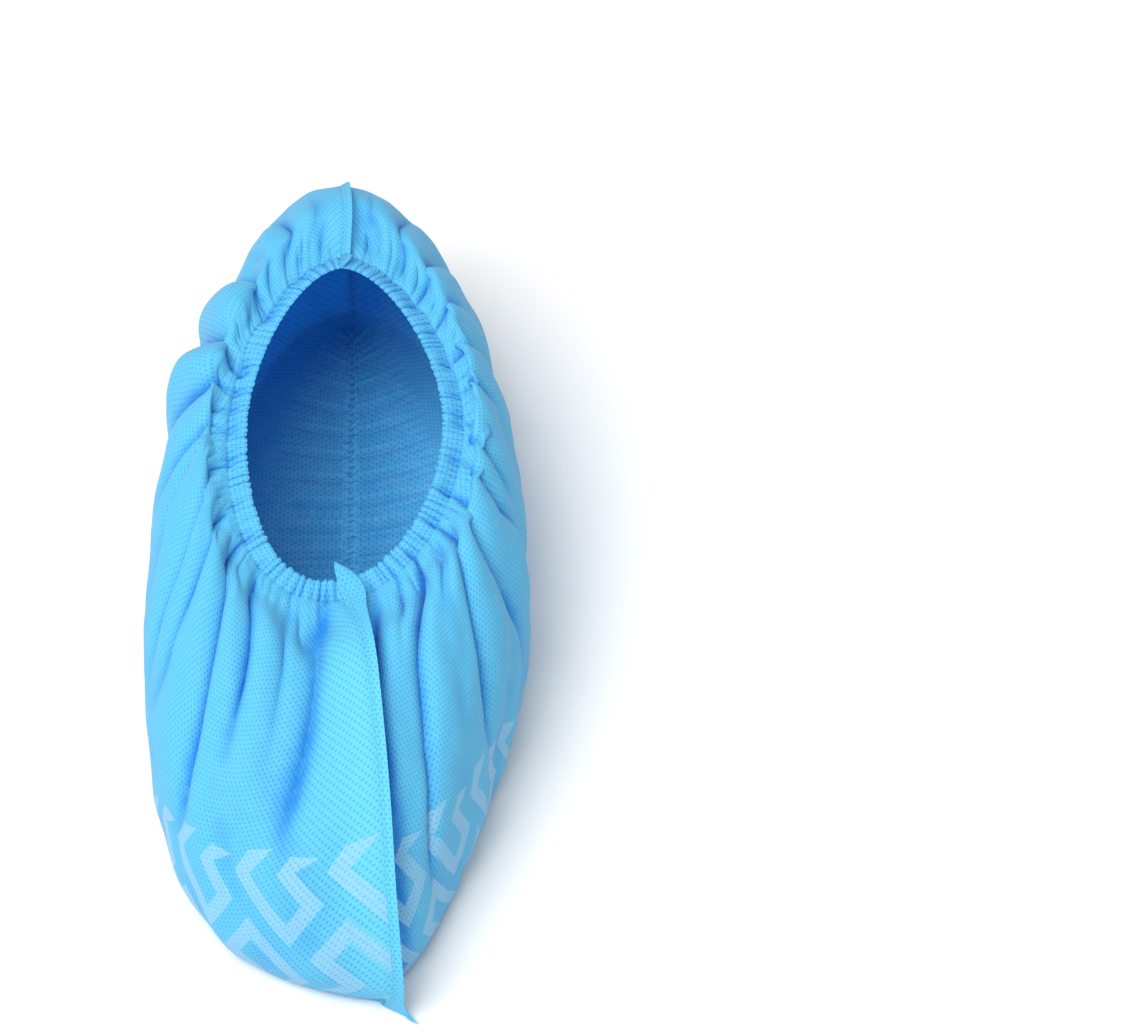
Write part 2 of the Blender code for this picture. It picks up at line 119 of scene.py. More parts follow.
# Relaxing the sheet: rounds, bending and slack for each grid, coarse to fine, and how far the sheet
# may leave the plain surface, inwards and outwards
RELAXING = ((60, 0.003, 1.03), (40, 0.006, 1.02), (30, 0.012, 1.01))
SMOOTHINGS = 4
AIR_PUSH = 0.00002
BENDING_DOWN = 2.5
STEP_SHARE = 0.55
DEEPER_VALLEYS = 1.25
ROOM_INWARDS, ROOM_OUTWARDS = 0.0012, 0.0016
FULL_ROOM_DROP = 0.10
ROOM_UNDER_FOOT = 0.0032
FLOOR_CLEARANCE = 0.0002
LAID_CLEARANCE = 0.0004
SOLE_FOLD_HEIGHT = 0.0014

# Threads of the sheet, first those round the ring, which alone get the slack: the rows and columns
# that each kind steps, and how firmly it pulls back
Thread = namedtuple("Thread", "rows columns pull")
THREADS = (Thread(0, 1, 0.9), Thread(1, 0, 0.9), Thread(1, 1, 0.12), Thread(1, -1, 0.12))

# Valleys between the gathers, toe weld to heel weld: shares of the half ring at three drops, how far
# down they reach, how deep they are, how wide their toe and heel walls are, and how high the ridge
# behind each one stands out, in metres
Fold = namedtuple("Fold", "hem middle end reach depth toe_wall heel_wall ridge")
FOLD_DROPS = (0.0, 0.20, 0.45)
LEFT_FOLDS = (
    Fold(0.022, 0.054, 0.092, 0.48, 0.0056, 0.0060, 0.0055, 0.0000),
    Fold(0.080, 0.094, 0.120, 0.38, 0.0020, 0.0018, 0.0034, 0.0008),
    Fold(0.150, 0.151, 0.168, 0.42, 0.0032, 0.0022, 0.0045, 0.0008),
    Fold(0.214, 0.222, 0.202, 0.60, 0.0054, 0.0022, 0.0075, 0.0004),
    Fold(0.292, 0.302, 0.300, 0.52, 0.0030, 0.0018, 0.0050, 0.0000),
    Fold(0.405, 0.372, 0.338, 0.50, 0.0052, 0.0022, 0.0080, 0.0004),
    Fold(0.498, 0.500, 0.392, 0.46, 0.0054, 0.0022, 0.0080, 0.0008),
    Fold(0.556, 0.530, 0.505, 0.50, 0.0024, 0.0016, 0.0060, 0.0010),
    Fold(0.608, 0.602, 0.630, 0.84, 0.0036, 0.0050, 0.0040, 0.0050),
    Fold(0.652, 0.692, 0.740, 0.84, 0.0068, 0.0034, 0.0050, 0.0026),
    Fold(0.802, 0.800, 0.814, 0.62, 0.0062, 0.0022, 0.0110, 0.0002),
    Fold(0.860, 0.852, 0.850, 0.36, 0.0016, 0.0020, 0.0050, 0.0002),
    Fold(0.915, 0.903, 0.900, 0.44, 0.0034, 0.0020, 0.0060, 0.0004),
    Fold(0.968, 0.960, 0.955, 0.26, 0.0022, 0.0018, 0.0030, 0.0000),
)
RIGHT_FOLDS = (
    Fold(0.058, 0.034, 0.030, 0.36, 0.0030, 0.0030, 0.0030, 0.0002),
    Fold(0.106, 0.080, 0.070, 0.20, 0.0016, 0.0016, 0.0024, 0.0008),
    Fold(0.158, 0.110, 0.084, 0.62, 0.0060, 0.0021, 0.0024, 0.0006),
    Fold(0.200, 0.188, 0.170, 0.20, 0.0022, 0.0014, 0.0026, 0.0006),
    Fold(0.236, 0.254, 0.222, 0.60, 0.0044, 0.0017, 0.0050, 0.0006),
    Fold(0.313, 0.322, 0.346, 0.58, 0.0060, 0.0018, 0.0100, 0.0004),
    Fold(0.396, 0.412, 0.452, 0.95, 0.0044, 0.0034, 0.0056, 0.0008),
    Fold(0.498, 0.468, 0.470, 0.42, 0.0048, 0.0022, 0.0070, 0.0006),
    Fold(0.575, 0.580, 0.585, 0.36, 0.0030, 0.0018, 0.0050, 0.0010),
    Fold(0.655, 0.662, 0.668, 0.56, 0.0050, 0.0024, 0.0080, 0.0010),
    Fold(0.742, 0.735, 0.730, 0.34, 0.0026, 0.0018, 0.0050, 0.0008),
    Fold(0.822, 0.812, 0.808, 0.54, 0.0050, 0.0022, 0.0090, 0.0004),
    Fold(0.900, 0.893, 0.890, 0.38, 0.0028, 0.0020, 0.0050, 0.0002),
    Fold(0.960, 0.955, 0.950, 0.26, 0.0020, 0.0018, 0.0030, 0.0000),
)
FOLD_SCALE = 1.2
VALLEY_POWER = 1.35
FULL_DEPTH_SHARE = 0.40

# How far the walls lean over a valley, as a share of its depth, from which drops on, and the most
# that they may lean, as a share of their own width, by the drop
FOLD_LEAN = 0.60
LEAN_DROPS = 0.05, 0.20
CLOSING_DROPS = (0.0, 0.12, 0.32)
CLOSING_SHARES = (0.5, 0.9, 1.8)

# A fold starts at the hem with a share of its depth and of its width. Over the foot's shoulder, from
# the first share of the half ring to the second, it deepens over a longer drop and starts wider.
HEM_SHARE_OF_FOLDS = 0.34
SHOULDER_SHARES = (0.30, 0.48)
SHOULDER_DROPS = (0.09, 0.24)
SHOULDER_WIDTHS = (0.55, 1.0)
FULL_WIDTH_DROP = 0.25

# Slight wrinkles all over the sheet: seeded waves, their lengths, their slope, how far they may turn
# from upright, and the drops over which they come in and go out
WRINKLES = 30
WRINKLE_LENGTHS = 0.007, 0.028
WRINKLE_SLOPE = 0.0055
WRINKLE_TURN = math.radians(50)
WRINKLES_SEED = 3
WRINKLES_IN = 0.01, 0.12
WRINKLES_OUT = 0.70, 0.80

# Small gathers under the hem, and the seeded ranges of each one's place in its own slot, its reach
# down the sheet, its depth, its drift and the width of its toe wall
GATHERS_A_SIDE = 56
GATHERS_SEED = 5
GATHER_RANGES = ((0.1, 0.9), (0.06, 0.24), (0.35, 1.0), (-0.015, 0.015), (0.7, 1.6))
GATHER_DEPTH = 0.0021
GATHER_WALL = 0.0013
GATHER_HEEL_WALL = 1.9
GATHERS_IN = 0.0, 0.05

# The toe weld's line: how far it lies beside, above and ahead of the plain sheet's toe line, how
# wide the band beyond it is, and how far to the left the sheet rises to it. The band's last rows
# reach out to the pointed tail on the floor.
Weld = namedtuple("Weld", "drop aside above ahead band rise")
TOE_WELD = (
    Weld(0.00, 0.0010, 0.0004, 0.0000, 0.0064, 0.006),
    Weld(0.03, 0.0034, 0.0024, 0.0000, 0.0058, 0.008),
    Weld(0.08, 0.0052, 0.0044, 0.0000, 0.0040, 0.012),
    Weld(0.16, 0.0064, 0.0064, 0.0000, 0.0034, 0.020),
    Weld(0.25, 0.0065, 0.0072, 0.0000, 0.0032, 0.028),
    Weld(0.50, 0.0057, 0.0070, 0.0000, 0.0032, 0.028),
    Weld(0.60, 0.0044, 0.0052, 0.0006, 0.0036, 0.026),
    Weld(0.66, 0.0026, 0.0020, 0.0034, 0.0050, 0.022),
    Weld(0.70, 0.0014, 0.0004, 0.0058, 0.0060, 0.020),
    Weld(0.80, 0.0006, 0.0000, 0.0020, 0.0000, 0.016),
    Weld(1.00, 0.0000, 0.0000, 0.0000, 0.0000, 0.010),
)
WELD_RISE_RIGHT = 0.009
# Where the sheet beside the toe weld is painted paler, for the double layer and as a painted highlight on
# the flank facing the key light: its reach from the weld, and the drops where it comes in and goes out
DOUBLE_LAYER_HIGHLIGHT_REACH = 0.013
DOUBLE_LAYER_HIGHLIGHT_IN = 0.02, 0.20
DOUBLE_LAYER_HIGHLIGHT_OUT = 0.55, 0.70

# The weld's flap over the hem: its weld side and its free side, from the tip, in the local frame
FLAP_WELD_SIDE = (
    (0.0001, -0.0336, 0.0722),
    (0.0008, -0.0368, 0.0712),
    (0.0020, -0.0402, 0.0700),
    (0.0032, -0.0438, 0.0688),
)
FLAP_FREE_SIDE = (
    (0.0003, -0.0337, 0.0723),
    (0.0050, -0.0356, 0.0714),
    (0.0080, -0.0388, 0.0706),
    (0.0102, -0.0432, 0.0702),
)
FLAP_ROWS = 18
FLAP_CURL = 0.0009
BAND_START_DROP = 0.03
BAND_SHARES = (-0.10, 0.0, 0.15, 0.3, 0.45, 0.6, 0.75, 0.9, 0.97, 1.0)
BAND_THICKNESSES = (0.2, 1.0, 1.0, 1.0, 1.0, 1.0, 1.0, 0.9, 0.7, 0.3)
BAND_CLEARANCE = 0.0007
TAIL_TIP = (0.0238, -0.1608, 0.0026)
TAIL_DROP = 0.625
TAIL_POWER = 1.6
FIN_THICKNESS = 0.0006
SHARP_EDGE = math.radians(62)

# The heel weld's band, and how it crosses the hem to its little tip
HEEL_WELD_HEIGHT = 0.0015
HEEL_WELD_OUT = 0.62, 0.72
HEEL_BAND = 0.0034
HEEL_BAND_SHARES = (-0.1, 0.0, 0.25, 0.5, 0.75, 0.93, 1.0)
HEEL_BAND_THICKNESSES = (0.2, 1.0, 1.0, 1.0, 1.0, 0.8, 0.35)
HEEL_BAND_OUT = 0.60, 0.70
HEEL_LEAN = math.radians(62)
HEEL_CROSSING_ROWS = 12
HEEL_CROSSING_HEIGHT = 0.0014
HEEL_CROSSING_BULGE = 0.0012
HEEL_TIP_SHARE = 0.35

# The hem: seeded puckers, the shares of its width where its foot and the folds' dips come in, and how much
# painted shade a crease and a dip get
PUCKERS = 128
PUCKERS_SEED = 11
PUCKER_DEPTH = 0.0012
PUCKER_DEPTHS = 0.35, 1.0
PUCKER_SHIFT = 0.32
PUCKERS_FADE = 0.05, 0.17
PAD_POWER = 0.7
HEM_COLUMNS = 1280
HEM_OVER = np.linspace(0.0, 1.0, 17)
HEM_UNDER = np.linspace(0.94, 0.05, 8)
HEM_HEIGHT = 0.0007
HEM_POWERS = 2.6, 0.5
HEM_FOOT_HEIGHT = 0.0005
HEM_FOOT_SUNK = 0.00005
HEM_FOOT_IN = 0.40, 0.98
HEM_DIPS_IN = 0.15, 0.90
HEM_TUCK = 0.0006
HEM_GATHERS = 1.5
HEM_UP = 0.165
RIM_NOTCH = 0.0010
RIM_NOTCH_REACH = 0.25
CREASE_PAINTED_SHADE = 0.75
DIP_PAINTED_SHADE = 0.0055
RUFFLE_HEIGHT = 0.00015
RUFFLE_SEEDS = 21, 22
RUFFLE_SMOOTHINGS = 6

# Embossed dots of the sheet, in staggered rows, and where their edge fades, in radii
DOT_PITCH = 0.00168
DOT_ROW = 0.00142
DOT_RADIUS = 0.00044
DOT_EDGE = 0.55, 1.15

# The anti-slip print: a zigzag of three bars and two hooks in its own square, by their corners
PRINT_SHAPES = (
    ((0.0, 0.0), (0.0043, 0.0), (0.0043, 0.0261), (0.0, 0.0261)),
    ((0.0, 0.0214), (0.0153, 0.0214), (0.0153, 0.0261), (0.0, 0.0261)),
    ((0.0107, 0.0107), (0.0153, 0.0107), (0.0153, 0.0261), (0.0107, 0.0261)),
    ((0.0, 0.0), (0.0074, -0.0006), (0.0142, 0.0050), (0.0043, 0.0043)),
    ((0.0107, 0.0107), (0.0172, 0.0108), (0.0228, 0.0178), (0.0153, 0.0147)),
)
PRINT_PITCH = 0.030
PRINT_REACH = 0.0620
PRINT_MARGIN = 0.00035
PRINT_EDGE = -0.0001, 0.0003
PRINT_RAGGED = 0.0005

# Rows of the print: which way round, and where a first corner lies along the sheet and how far from
# the sole's fold, on the left panel and on the right one
PrintRow = namedtuple("PrintRow", "turn left_along left_up right_along right_up")
PRINT_ROWS = (
    PrintRow(1.0, 0.0140, 0.0455, 0.0171, -0.0140),
    PrintRow(-1.0, 0.0208, 0.0160, 0.0238, -0.0440),
)

# How far the floor's edge lies from the sole's fold on the flat sheet, by the way to the next weld
PRINT_EDGE_WAYS = (0.0, 0.060, 0.085, 0.130)
PRINT_EDGE_HEIGHTS = (-0.008, 0.007, 0.014, 0.050)
PRINT_RISE_SCALE = 0.80
PRINT_RISE_SHIFT = 0.0100

# Colours of the sheet, linear. The sheet's valleys and creases are painted a deeper blue as shade; beside
# the toe weld it is painted paler, partly for the double layer there and partly as a painted highlight on
# the flank facing the light.
CREST_BLUE = (0.142, 0.680, 0.930, 1.0)
# Painted shade: the deeper blue that the valleys and creases are painted
PAINTED_SHADE_BLUE = (0.012, 0.310, 0.860, 1.0)
CLOUD_BLUE = (0.215, 0.735, 0.940, 1.0)
DOT_BLUE = (0.020, 0.290, 0.700, 1.0)
PRINT_BLUE = (0.360, 0.760, 0.930, 1.0)
PRINT_SPECK = (0.640, 0.860, 0.950, 1.0)
# Painted paler beside the toe weld: the double layer there, with a painted highlight on the flank facing
# the key light
PALE_HIGHLIGHT_BLUE = (0.180, 0.800, 0.950, 1.0)
THROUGH_BLUE = (0.012, 0.380, 0.930, 1.0)
TRANSLUCENCY = 0.33
CLOUD_SHARE = 0.30
# Share of the paler blue beside the toe weld, partly a painted highlight
PALE_HIGHLIGHT_SHARE = 0.85
INNER_SHARE = 0.85
# Painted shade in the hollows: how many columns round the ring a point is compared with, how much that is
# softened, the depth that gives full shade, and the shade added everywhere
PAINTED_SHADE_REACH, PAINTED_SHADE_SOFTNESS = 9, 2
PAINTED_SHADE_DEPTH = 0.0022
PAINTED_SHADE_START = 0.12

# Finish of the sheet: sizes of its noises, its roughness, and its bump
CLOUD_SCALE, FIBRE_SCALE, SPECK_SCALE = 260.0, 2600.0, 1500.0
NOISE_ROUGHNESS = 0.55
CLOTH_ROUGHNESS = 0.62
PRINT_SMOOTHNESS = 0.22
CLOTH_SPECULAR = 0.25
CLOTH_SHEEN = 0.15
BUMP_STRENGTH = 0.5
BUMP_HEIGHT = 0.00018

# The weld's two pressed lines, from the weld, their edge, and the length of their dashes
WELD_LINES = (0.0003, 0.0012)
WELD_LINE_EDGE = 0.00008, 0.00022
WELD_DASH = 0.0009

# The ruched strip in the sole's groove
STRIP_HALF_WIDTH = 0.0023
STRIP_HALF_THICKNESS = 0.0004
STRIP_PUCKERS = 104
STRIP_ROWS_A_PUCKER = 8
STRIP_COLUMNS = 13
STRIP_HEIGHT = 0.00095
STRIP_WAVE = 0.00050
STRIP_SEED = 8
STRIP_JITTER = 0.9
STRIP_FRONT, STRIP_BACK = -0.1280, 0.1280

# The ruches of the sheet beside the strip
RUCHES = 74
RUCHE_DEPTH = 0.0026
RUCHE_DROPS = 0.74, 0.94

# Light and floor
WORLD_STRENGTH = 0.56
KEY_SIZE, KEY_ENERGY = 1.2, 25
KEY_PLACE = (-0.52, -0.46, 1.4)
FLOOR_SIZE = 6.0
FLOOR_LEVEL = -0.0002

CAMERA_ELEVATION = math.radians(50)
CAMERA_YAW = math.radians(-2)
CAMERA_DEPTH = 1.10
FRAME_WIDTH_PX, FRAME_HEIGHT_PX = 1143, 1032
LENS_PX = 3333.0
TARGET = Vector((0.0, 0.0, 0.040))
TARGET_PX = (340.0, 545.0)
SENSOR_MM = 36.0


def ramp(value, low, high):
    """Smooth step from 0 at low to 1 at high."""
    share = np.clip((value - low) / (high - low), 0.0, 1.0)
    return share * share * (3.0 - 2.0 * share)


def size(vectors):
    return np.linalg.norm(vectors, axis=-1)


def unit(vectors):
    return vectors / np.maximum(size(vectors), 1e-12)[..., None]


def running(steps):
    """The way from the first point to each one, by the steps between them."""
    return np.concatenate([[0.0], np.cumsum(steps)])


def sag(values):
    """Twice the way from each column to the middle of the two beside it."""
    return np.roll(values, -1, axis=1) + np.roll(values, 1, axis=1) - 2 * values


def blurred(values, reach):
    """Values averaged round the ring, reach columns to each side."""
    total = sum(np.roll(values, k, axis=1) for k in range(-reach, reach + 1))
    return total / (2 * reach + 1)


def beside(points):
    """The step from the column before each point to the one after it, round the ring."""
    return np.roll(points, -1, axis=-2) - np.roll(points, 1, axis=-2)


def ring_normals(points):
    """Normals of a grid that closes round the ring, up to their sign."""
    return unit(np.cross(np.gradient(points, axis=0), beside(points)))


def joined(right, left):
    """Values of the right side from toe to heel, then the left ones back, without the ends they share."""
    return np.concatenate([right, left[-2:0:-1]])


def looped(values, turn=0.0):
    """Values with the last one also in front and the first one also behind, a turn away."""
    return np.concatenate([[values[-1] - turn], values, [values[0] + turn]])


def table_at(rows, drops):
    """The columns of a table at these drops."""
    table = np.array(rows)
    return [np.interp(drops, table[:, 0], table[:, k]) for k in range(1, table.shape[1])]


def weld_at(drops):
    return Weld(drops, *table_at(TOE_WELD, drops))


def station_at(drop):
    """The ring's values at this drop: a cubic through the stations that never overshoots them."""
    rows = np.array(STATIONS)
    drops, values = rows[:, 0], rows[:, 1:]
    spans = np.diff(drops)[:, None]
    slopes = np.diff(values, axis=0) / spans
    tangents = np.zeros_like(values)
    tangents[0], tangents[-1] = slopes[0], slopes[-1]
    before, after = slopes[:-1], slopes[1:]
    heavy, light = 2 * spans[1:] + spans[:-1], spans[1:] + 2 * spans[:-1]
    turning = before * after <= 0
    weighted = heavy / np.where(turning, 1.0, before) + light / np.where(turning, 1.0, after)
    tangents[1:-1] = np.where(turning, 0.0, (heavy + light) / weighted)
    k = int(np.clip(np.searchsorted(drops, drop, side="right") - 1, 0, len(drops) - 2))
    s, span = (drop - drops[k]) / spans[k, 0], spans[k, 0]
    along = (2 * s**3 - 3 * s**2 + 1) * values[k] + (3 * s**2 - 2 * s**3) * values[k + 1]
    along += span * ((s**3 - 2 * s**2 + s) * tangents[k] + (s**3 - s**2) * tangents[k + 1])
    return Station(drop, *along)


def half_ring(drop, side, shares):
    """Points on one side (+1 right, -1 left) of the ring at these shares of its own length."""
    st = station_at(drop)
    turn = np.linspace(0.0, math.pi, RING_SAMPLES)
    c, s = np.cos(turn), np.sin(turn)
    front = c > 0
    fullness = np.where(front, st.right if side > 0 else st.left, st.back)
    reach = np.abs(c) ** (2 / fullness)
    x = st.mid_x + side * st.side_x * s ** (2 / fullness)
    x = x + np.where(front, st.front_x * c**4, st.back_x * c**2)
    y = st.side_y + np.where(front, st.front_y - st.side_y, st.back_y - st.side_y) * reach
    z = st.side_z + np.where(front, st.front_z - st.side_z, st.back_z - st.side_z) * c**2
    points = np.column_stack([x * COVER_WIDTH, y * COVER_LENGTH, z * COVER_HEIGHT])
    steps = size(np.diff(points, axis=0))
    lengths = running(steps) / steps.sum()
    return np.column_stack([np.interp(shares, lengths, points[:, k]) for k in range(3)]), steps.sum()


def outward_in_plan(ring):
    along = beside(ring)
    outward = np.column_stack([-along[:, 1], along[:, 0], np.zeros(len(ring))])
    return unit(outward * np.sign(np.sum((ring - ring.mean(axis=0)) * outward)))


def hem_direction(ring):
    down = np.array([0.0, 0.0, -math.sin(HEM_TILT)])
    return math.cos(HEM_TILT) * outward_in_plan(ring) + down


def hem_across(ring):
    """The direction out of the hem's upper face."""
    across = unit(np.cross(hem_direction(ring), beside(ring)))
    return across * np.sign(across[:, 2])[:, None]


def spare_at(drop, shares):
    """Spare length of the sheet at this drop, for shares of the half ring."""
    toe, side, heel = table_at(SPARES, drop)
    return np.interp(shares, SPARE_SHARES, (toe, toe, side, heel))


def wall(away, toe_wall, heel_wall):
    """Depth of a valley, 1 at its line, and how far its walls lean over it, by the distance."""
    part = away / np.where(away < 0, toe_wall, heel_wall)
    return np.exp(-abs(part) ** VALLEY_POWER), -part * np.exp(-part * part)


def folded(folds, drop, shares, length):
    """Height of the folds over the plain ring of this length, and how far they lean towards the heel."""
    height, lean = np.zeros(len(shares)), np.zeros(len(shares))
    closing = np.interp(drop, CLOSING_DROPS, CLOSING_SHARES)
    lines = [np.interp(drop, FOLD_DROPS, (fold.hem, fold.middle, fold.end)) for fold in folds] + [1.0]
    for fold, line, after in zip(folds, lines, lines[1:]):
        full = np.interp(fold.hem, SHOULDER_SHARES, SHOULDER_DROPS)
        strength = HEM_SHARE_OF_FOLDS + (1.0 - HEM_SHARE_OF_FOLDS) * ramp(drop, 0.0, full)
        strength *= 1.0 - ramp(drop, FULL_DEPTH_SHARE * fold.reach, fold.reach)
        narrow = np.interp(fold.hem, SHOULDER_SHARES, SHOULDER_WIDTHS)
        widen = narrow + (1.0 - narrow) * ramp(drop, 0.0, FULL_WIDTH_DROP)
        away = (shares - line) * length
        deep, tilt = wall(away, fold.toe_wall * widen, fold.heel_wall * widen)
        height -= strength * fold.depth * FOLD_SCALE * deep
        width = np.where(away < 0, fold.toe_wall, fold.heel_wall) * widen
        sway = np.minimum(strength * fold.depth * FOLD_SCALE * FOLD_LEAN, closing * width)
        lean += sway * ramp(drop, *LEAN_DROPS) * tilt
        part = np.clip((shares - line) / (after - line), 0.0, 1.0)
        height += strength * fold.ridge * np.sin(np.pi * part) ** 2
    return height, lean


def gathered(drop, side, shares, length):
    """The small gathers under the hem: short creases of seeded places, lengths and depths."""
    random = np.random.default_rng(GATHERS_SEED + (side > 0))
    draws = [random.uniform(low, high, GATHERS_A_SIDE) for low, high in GATHER_RANGES]
    widen = GATHER_WALL * (0.7 + 0.8 * min(1.0, drop / 0.12))
    height, lean = np.zeros(len(shares)), np.zeros(len(shares))
    for count, (slot, reach, depth, drift, width) in enumerate(zip(*draws)):
        strength = GATHER_DEPTH * depth * ramp(drop, *GATHERS_IN) * (1.0 - ramp(drop, 0.35 * reach, reach))
        if strength > 0.0:
            away = (shares - (count + slot) / GATHERS_A_SIDE - drift * drop / reach) * length
            deep, tilt = wall(away, width * widen, GATHER_HEEL_WALL * width * widen)
            height -= strength * deep
            lean += strength * tilt
    return height, lean * FOLD_LEAN


def hem_dips(shares):
    """Heights of the folds at the hem's foot, for shares that run round the ring from the toe."""
    half = len(shares) // 2
    sides = ((RIGHT_FOLDS, 1, shares[:half + 1]), (LEFT_FOLDS, -1, shares[half + 1:]))
    return np.concatenate([folded(folds, 0.0, part, half_ring(0.0, side, part)[1])[0]
                           for folds, side, part in sides])


def wrinkled(away, down):
    """Heights of the slight wrinkles, by the way along the sheet from the toe weld and down it."""
    random = np.random.default_rng(WRINKLES_SEED)
    lengths = random.uniform(*WRINKLE_LENGTHS, WRINKLES)
    turns = random.uniform(-WRINKLE_TURN, WRINKLE_TURN, WRINKLES)
    starts = random.uniform(0.0, 2 * math.pi, WRINKLES)
    height = 0.0 * away
    for length, turn, start in zip(lengths, turns, starts):
        along = away * math.cos(turn) + down * math.sin(turn)
        height += WRINKLE_SLOPE * length * np.sin(2 * math.pi * along / length + start)
    return height


def pucker_creases(count):
    """The hem's creases at evenly spaced columns: 0 on a pad, up to 1 in a crease, and how far down
    the sheet each one reaches."""
    random = np.random.default_rng(PUCKERS_SEED)
    edges = looped(np.arange(PUCKERS) + random.uniform(-PUCKER_SHIFT, PUCKER_SHIFT, PUCKERS), PUCKERS)
    depths = looped(random.uniform(*PUCKER_DEPTHS, PUCKERS))
    reaches = looped(random.uniform(*PUCKERS_FADE, PUCKERS))
    place = np.arange(count) / count * PUCKERS
    k = np.clip(np.searchsorted(edges, place, side="right") - 1, 0, PUCKERS)
    part = (place - edges[k]) / (edges[k + 1] - edges[k])
    depth, reach = [ends[k] + (ends[k + 1] - ends[k]) * part for ends in (depths, reaches)]
    return depth * (1.0 - np.sin(np.pi * np.clip(part, 0, 1)) ** PAD_POWER), reach


class Grid:
    """The plain sheet at one resolution: places, normals, shares and the folds laid on it."""

    def __init__(self, columns, rows, fine):
        self.columns, self.rows, self.half = columns, rows, columns // 2
        self.drops = np.interp(np.linspace(0.0, 1.0, rows), ROW_PLACES, ROW_DROPS)
        self.left = np.arange(columns) > self.half
        rings = [self.ring(drop, fine) for drop in self.drops]
        self.base, self.shares, self.heights, self.leans = [np.array(values) for values in zip(*rings)]
        self.creases, reaches = pucker_creases(columns)
        if fine:
            self.add_small_folds(reaches)
        self.dips = hem_dips(self.shares[0])
        self.hem_up = hem_across(self.base[0])
        foot = hem_direction(self.base[0]) * (HEM_WIDTH + GAP)
        self.base += foot[None] * (1.0 - ramp(self.drops, 0.0, HEM_FOOT_LEFT))[:, None, None]
        steep = self.row_at(STEEP_DROP)
        self.normals = ring_normals(self.base)
        self.normals *= np.sign(np.sum(self.normals[steep] * outward_in_plan(self.base[steep])))
        steps = size(thread_steps(self.base, THREADS[0]))
        self.from_weld = np.array([joined(running(row[:self.half]), running(row[:self.half - 1:-1]))
                                   for row in steps])

    def row_at(self, drop):
        return int(np.argmin(abs(self.drops - drop)))

    def ring(self, drop, fine):
        """Places, shares, and the folds' heights and leans round the ring at this drop."""
        dense = np.linspace(0.0, 1.0, SPARE_SAMPLES)
        spare = spare_at(drop, dense)
        sheet = running((spare[1:] + spare[:-1]) / 2)
        share = np.interp(np.linspace(0.0, 1.0, self.half + 1), sheet / sheet[-1], dense)
        places, heights, leans = [], [], []
        for side, folds in ((1, RIGHT_FOLDS), (-1, LEFT_FOLDS)):
            points, length = half_ring(drop, side, share)
            height, lean = folded(folds, drop, share, length)
            if fine:
                small = gathered(drop, side, share, length)
                height, lean = height + small[0], lean + small[1]
            places.append(points)
            heights.append(height)
            leans.append(side * lean)
        return joined(*places), joined(share, share), joined(*heights), joined(*leans)

    def add_small_folds(self, reaches):
        """The hem's creases running out, the ruches beside the sole strip and the slight wrinkles."""
        fade = 1.0 - ramp(self.drops[:, None] / reaches[None, :], 0.3, 1.0)
        self.heights -= fade * (self.creases - 0.35)[None, :] * PUCKER_DEPTH
        column = np.minimum(np.arange(self.columns), self.columns - np.arange(self.columns))
        ruches = 0.5 - 0.5 * np.cos(2 * math.pi * RUCHES * column / self.half)
        self.heights -= RUCHE_DEPTH * ruches[None, :] * ramp(self.drops, *RUCHE_DROPS)[:, None]
        away = self.shares * 0.5 * FLAT_LENGTH * np.where(self.left, -1.0, 1.0)
        wrinkles = wrinkled(away, (self.drops * FLAT_HEIGHT)[:, None])
        wrinkles *= (ramp(self.drops, *WRINKLES_IN) * (1.0 - ramp(self.drops, *WRINKLES_OUT)))[:, None]
        self.heights += wrinkles


def weld_line(grid):
    """Where the toe weld runs on this grid, and how far the sheet beside it is carried along."""
    weld = weld_at(grid.drops)
    out = grid.normals[:, 0] * weld.above[:, None]
    return out + np.stack([weld.aside, -weld.ahead, 0.0 * weld.ahead], axis=-1)


def weld_pull(grid):
    """Each column's share in the weld's shift: broad on the left, steep on the right."""
    left = np.clip(1.0 - grid.from_weld / weld_at(grid.drops).rise[:, None], 0.0, 1.0) ** 2
    right = 1.0 - ramp(grid.from_weld, 0.0, WELD_RISE_RIGHT)
    return np.where(grid.left[None, :], left, right)


def designed(grid):
    """The sheet as laid out: the folds on the plain surface, and the weld's shift beside it."""
    pull = weld_pull(grid)
    calm = grid.heights * (1.0 - pull)
    points = grid.base + grid.normals * calm[:, :, None] + weld_line(grid)[:, None] * pull[:, :, None]
    return points + unit(beside(grid.base)) * (grid.leans * (1.0 - pull))[:, :, None]


def pin_rims(grid, points):
    """Sets the rows and columns that stay put: the hem, the fold of the sole and both welds."""
    points[:, 0] = grid.base[:, 0] + weld_line(grid)
    heel = HEEL_WELD_HEIGHT * (1.0 - ramp(grid.drops, *HEEL_WELD_OUT))
    points[:, grid.half] = grid.base[:, grid.half] + grid.normals[:, grid.half] * heel[:, None]
    points[:, :, 2] = np.maximum(points[:, :, 2], LAID_CLEARANCE)
    foot = HEM_FOOT_HEIGHT - grid.creases * PUCKER_DEPTH + grid.dips
    points[0] = grid.base[0] + grid.hem_up * foot[:, None]
    points[-1] = grid.base[-1]
    points[-1, :, 2] = SOLE_FOLD_HEIGHT
    return points


def thread_steps(points, thread):
    """Each point's step to the next one on this kind of thread."""
    return np.roll(points[thread.rows:], -thread.columns, axis=1) - points[:len(points) - thread.rows]


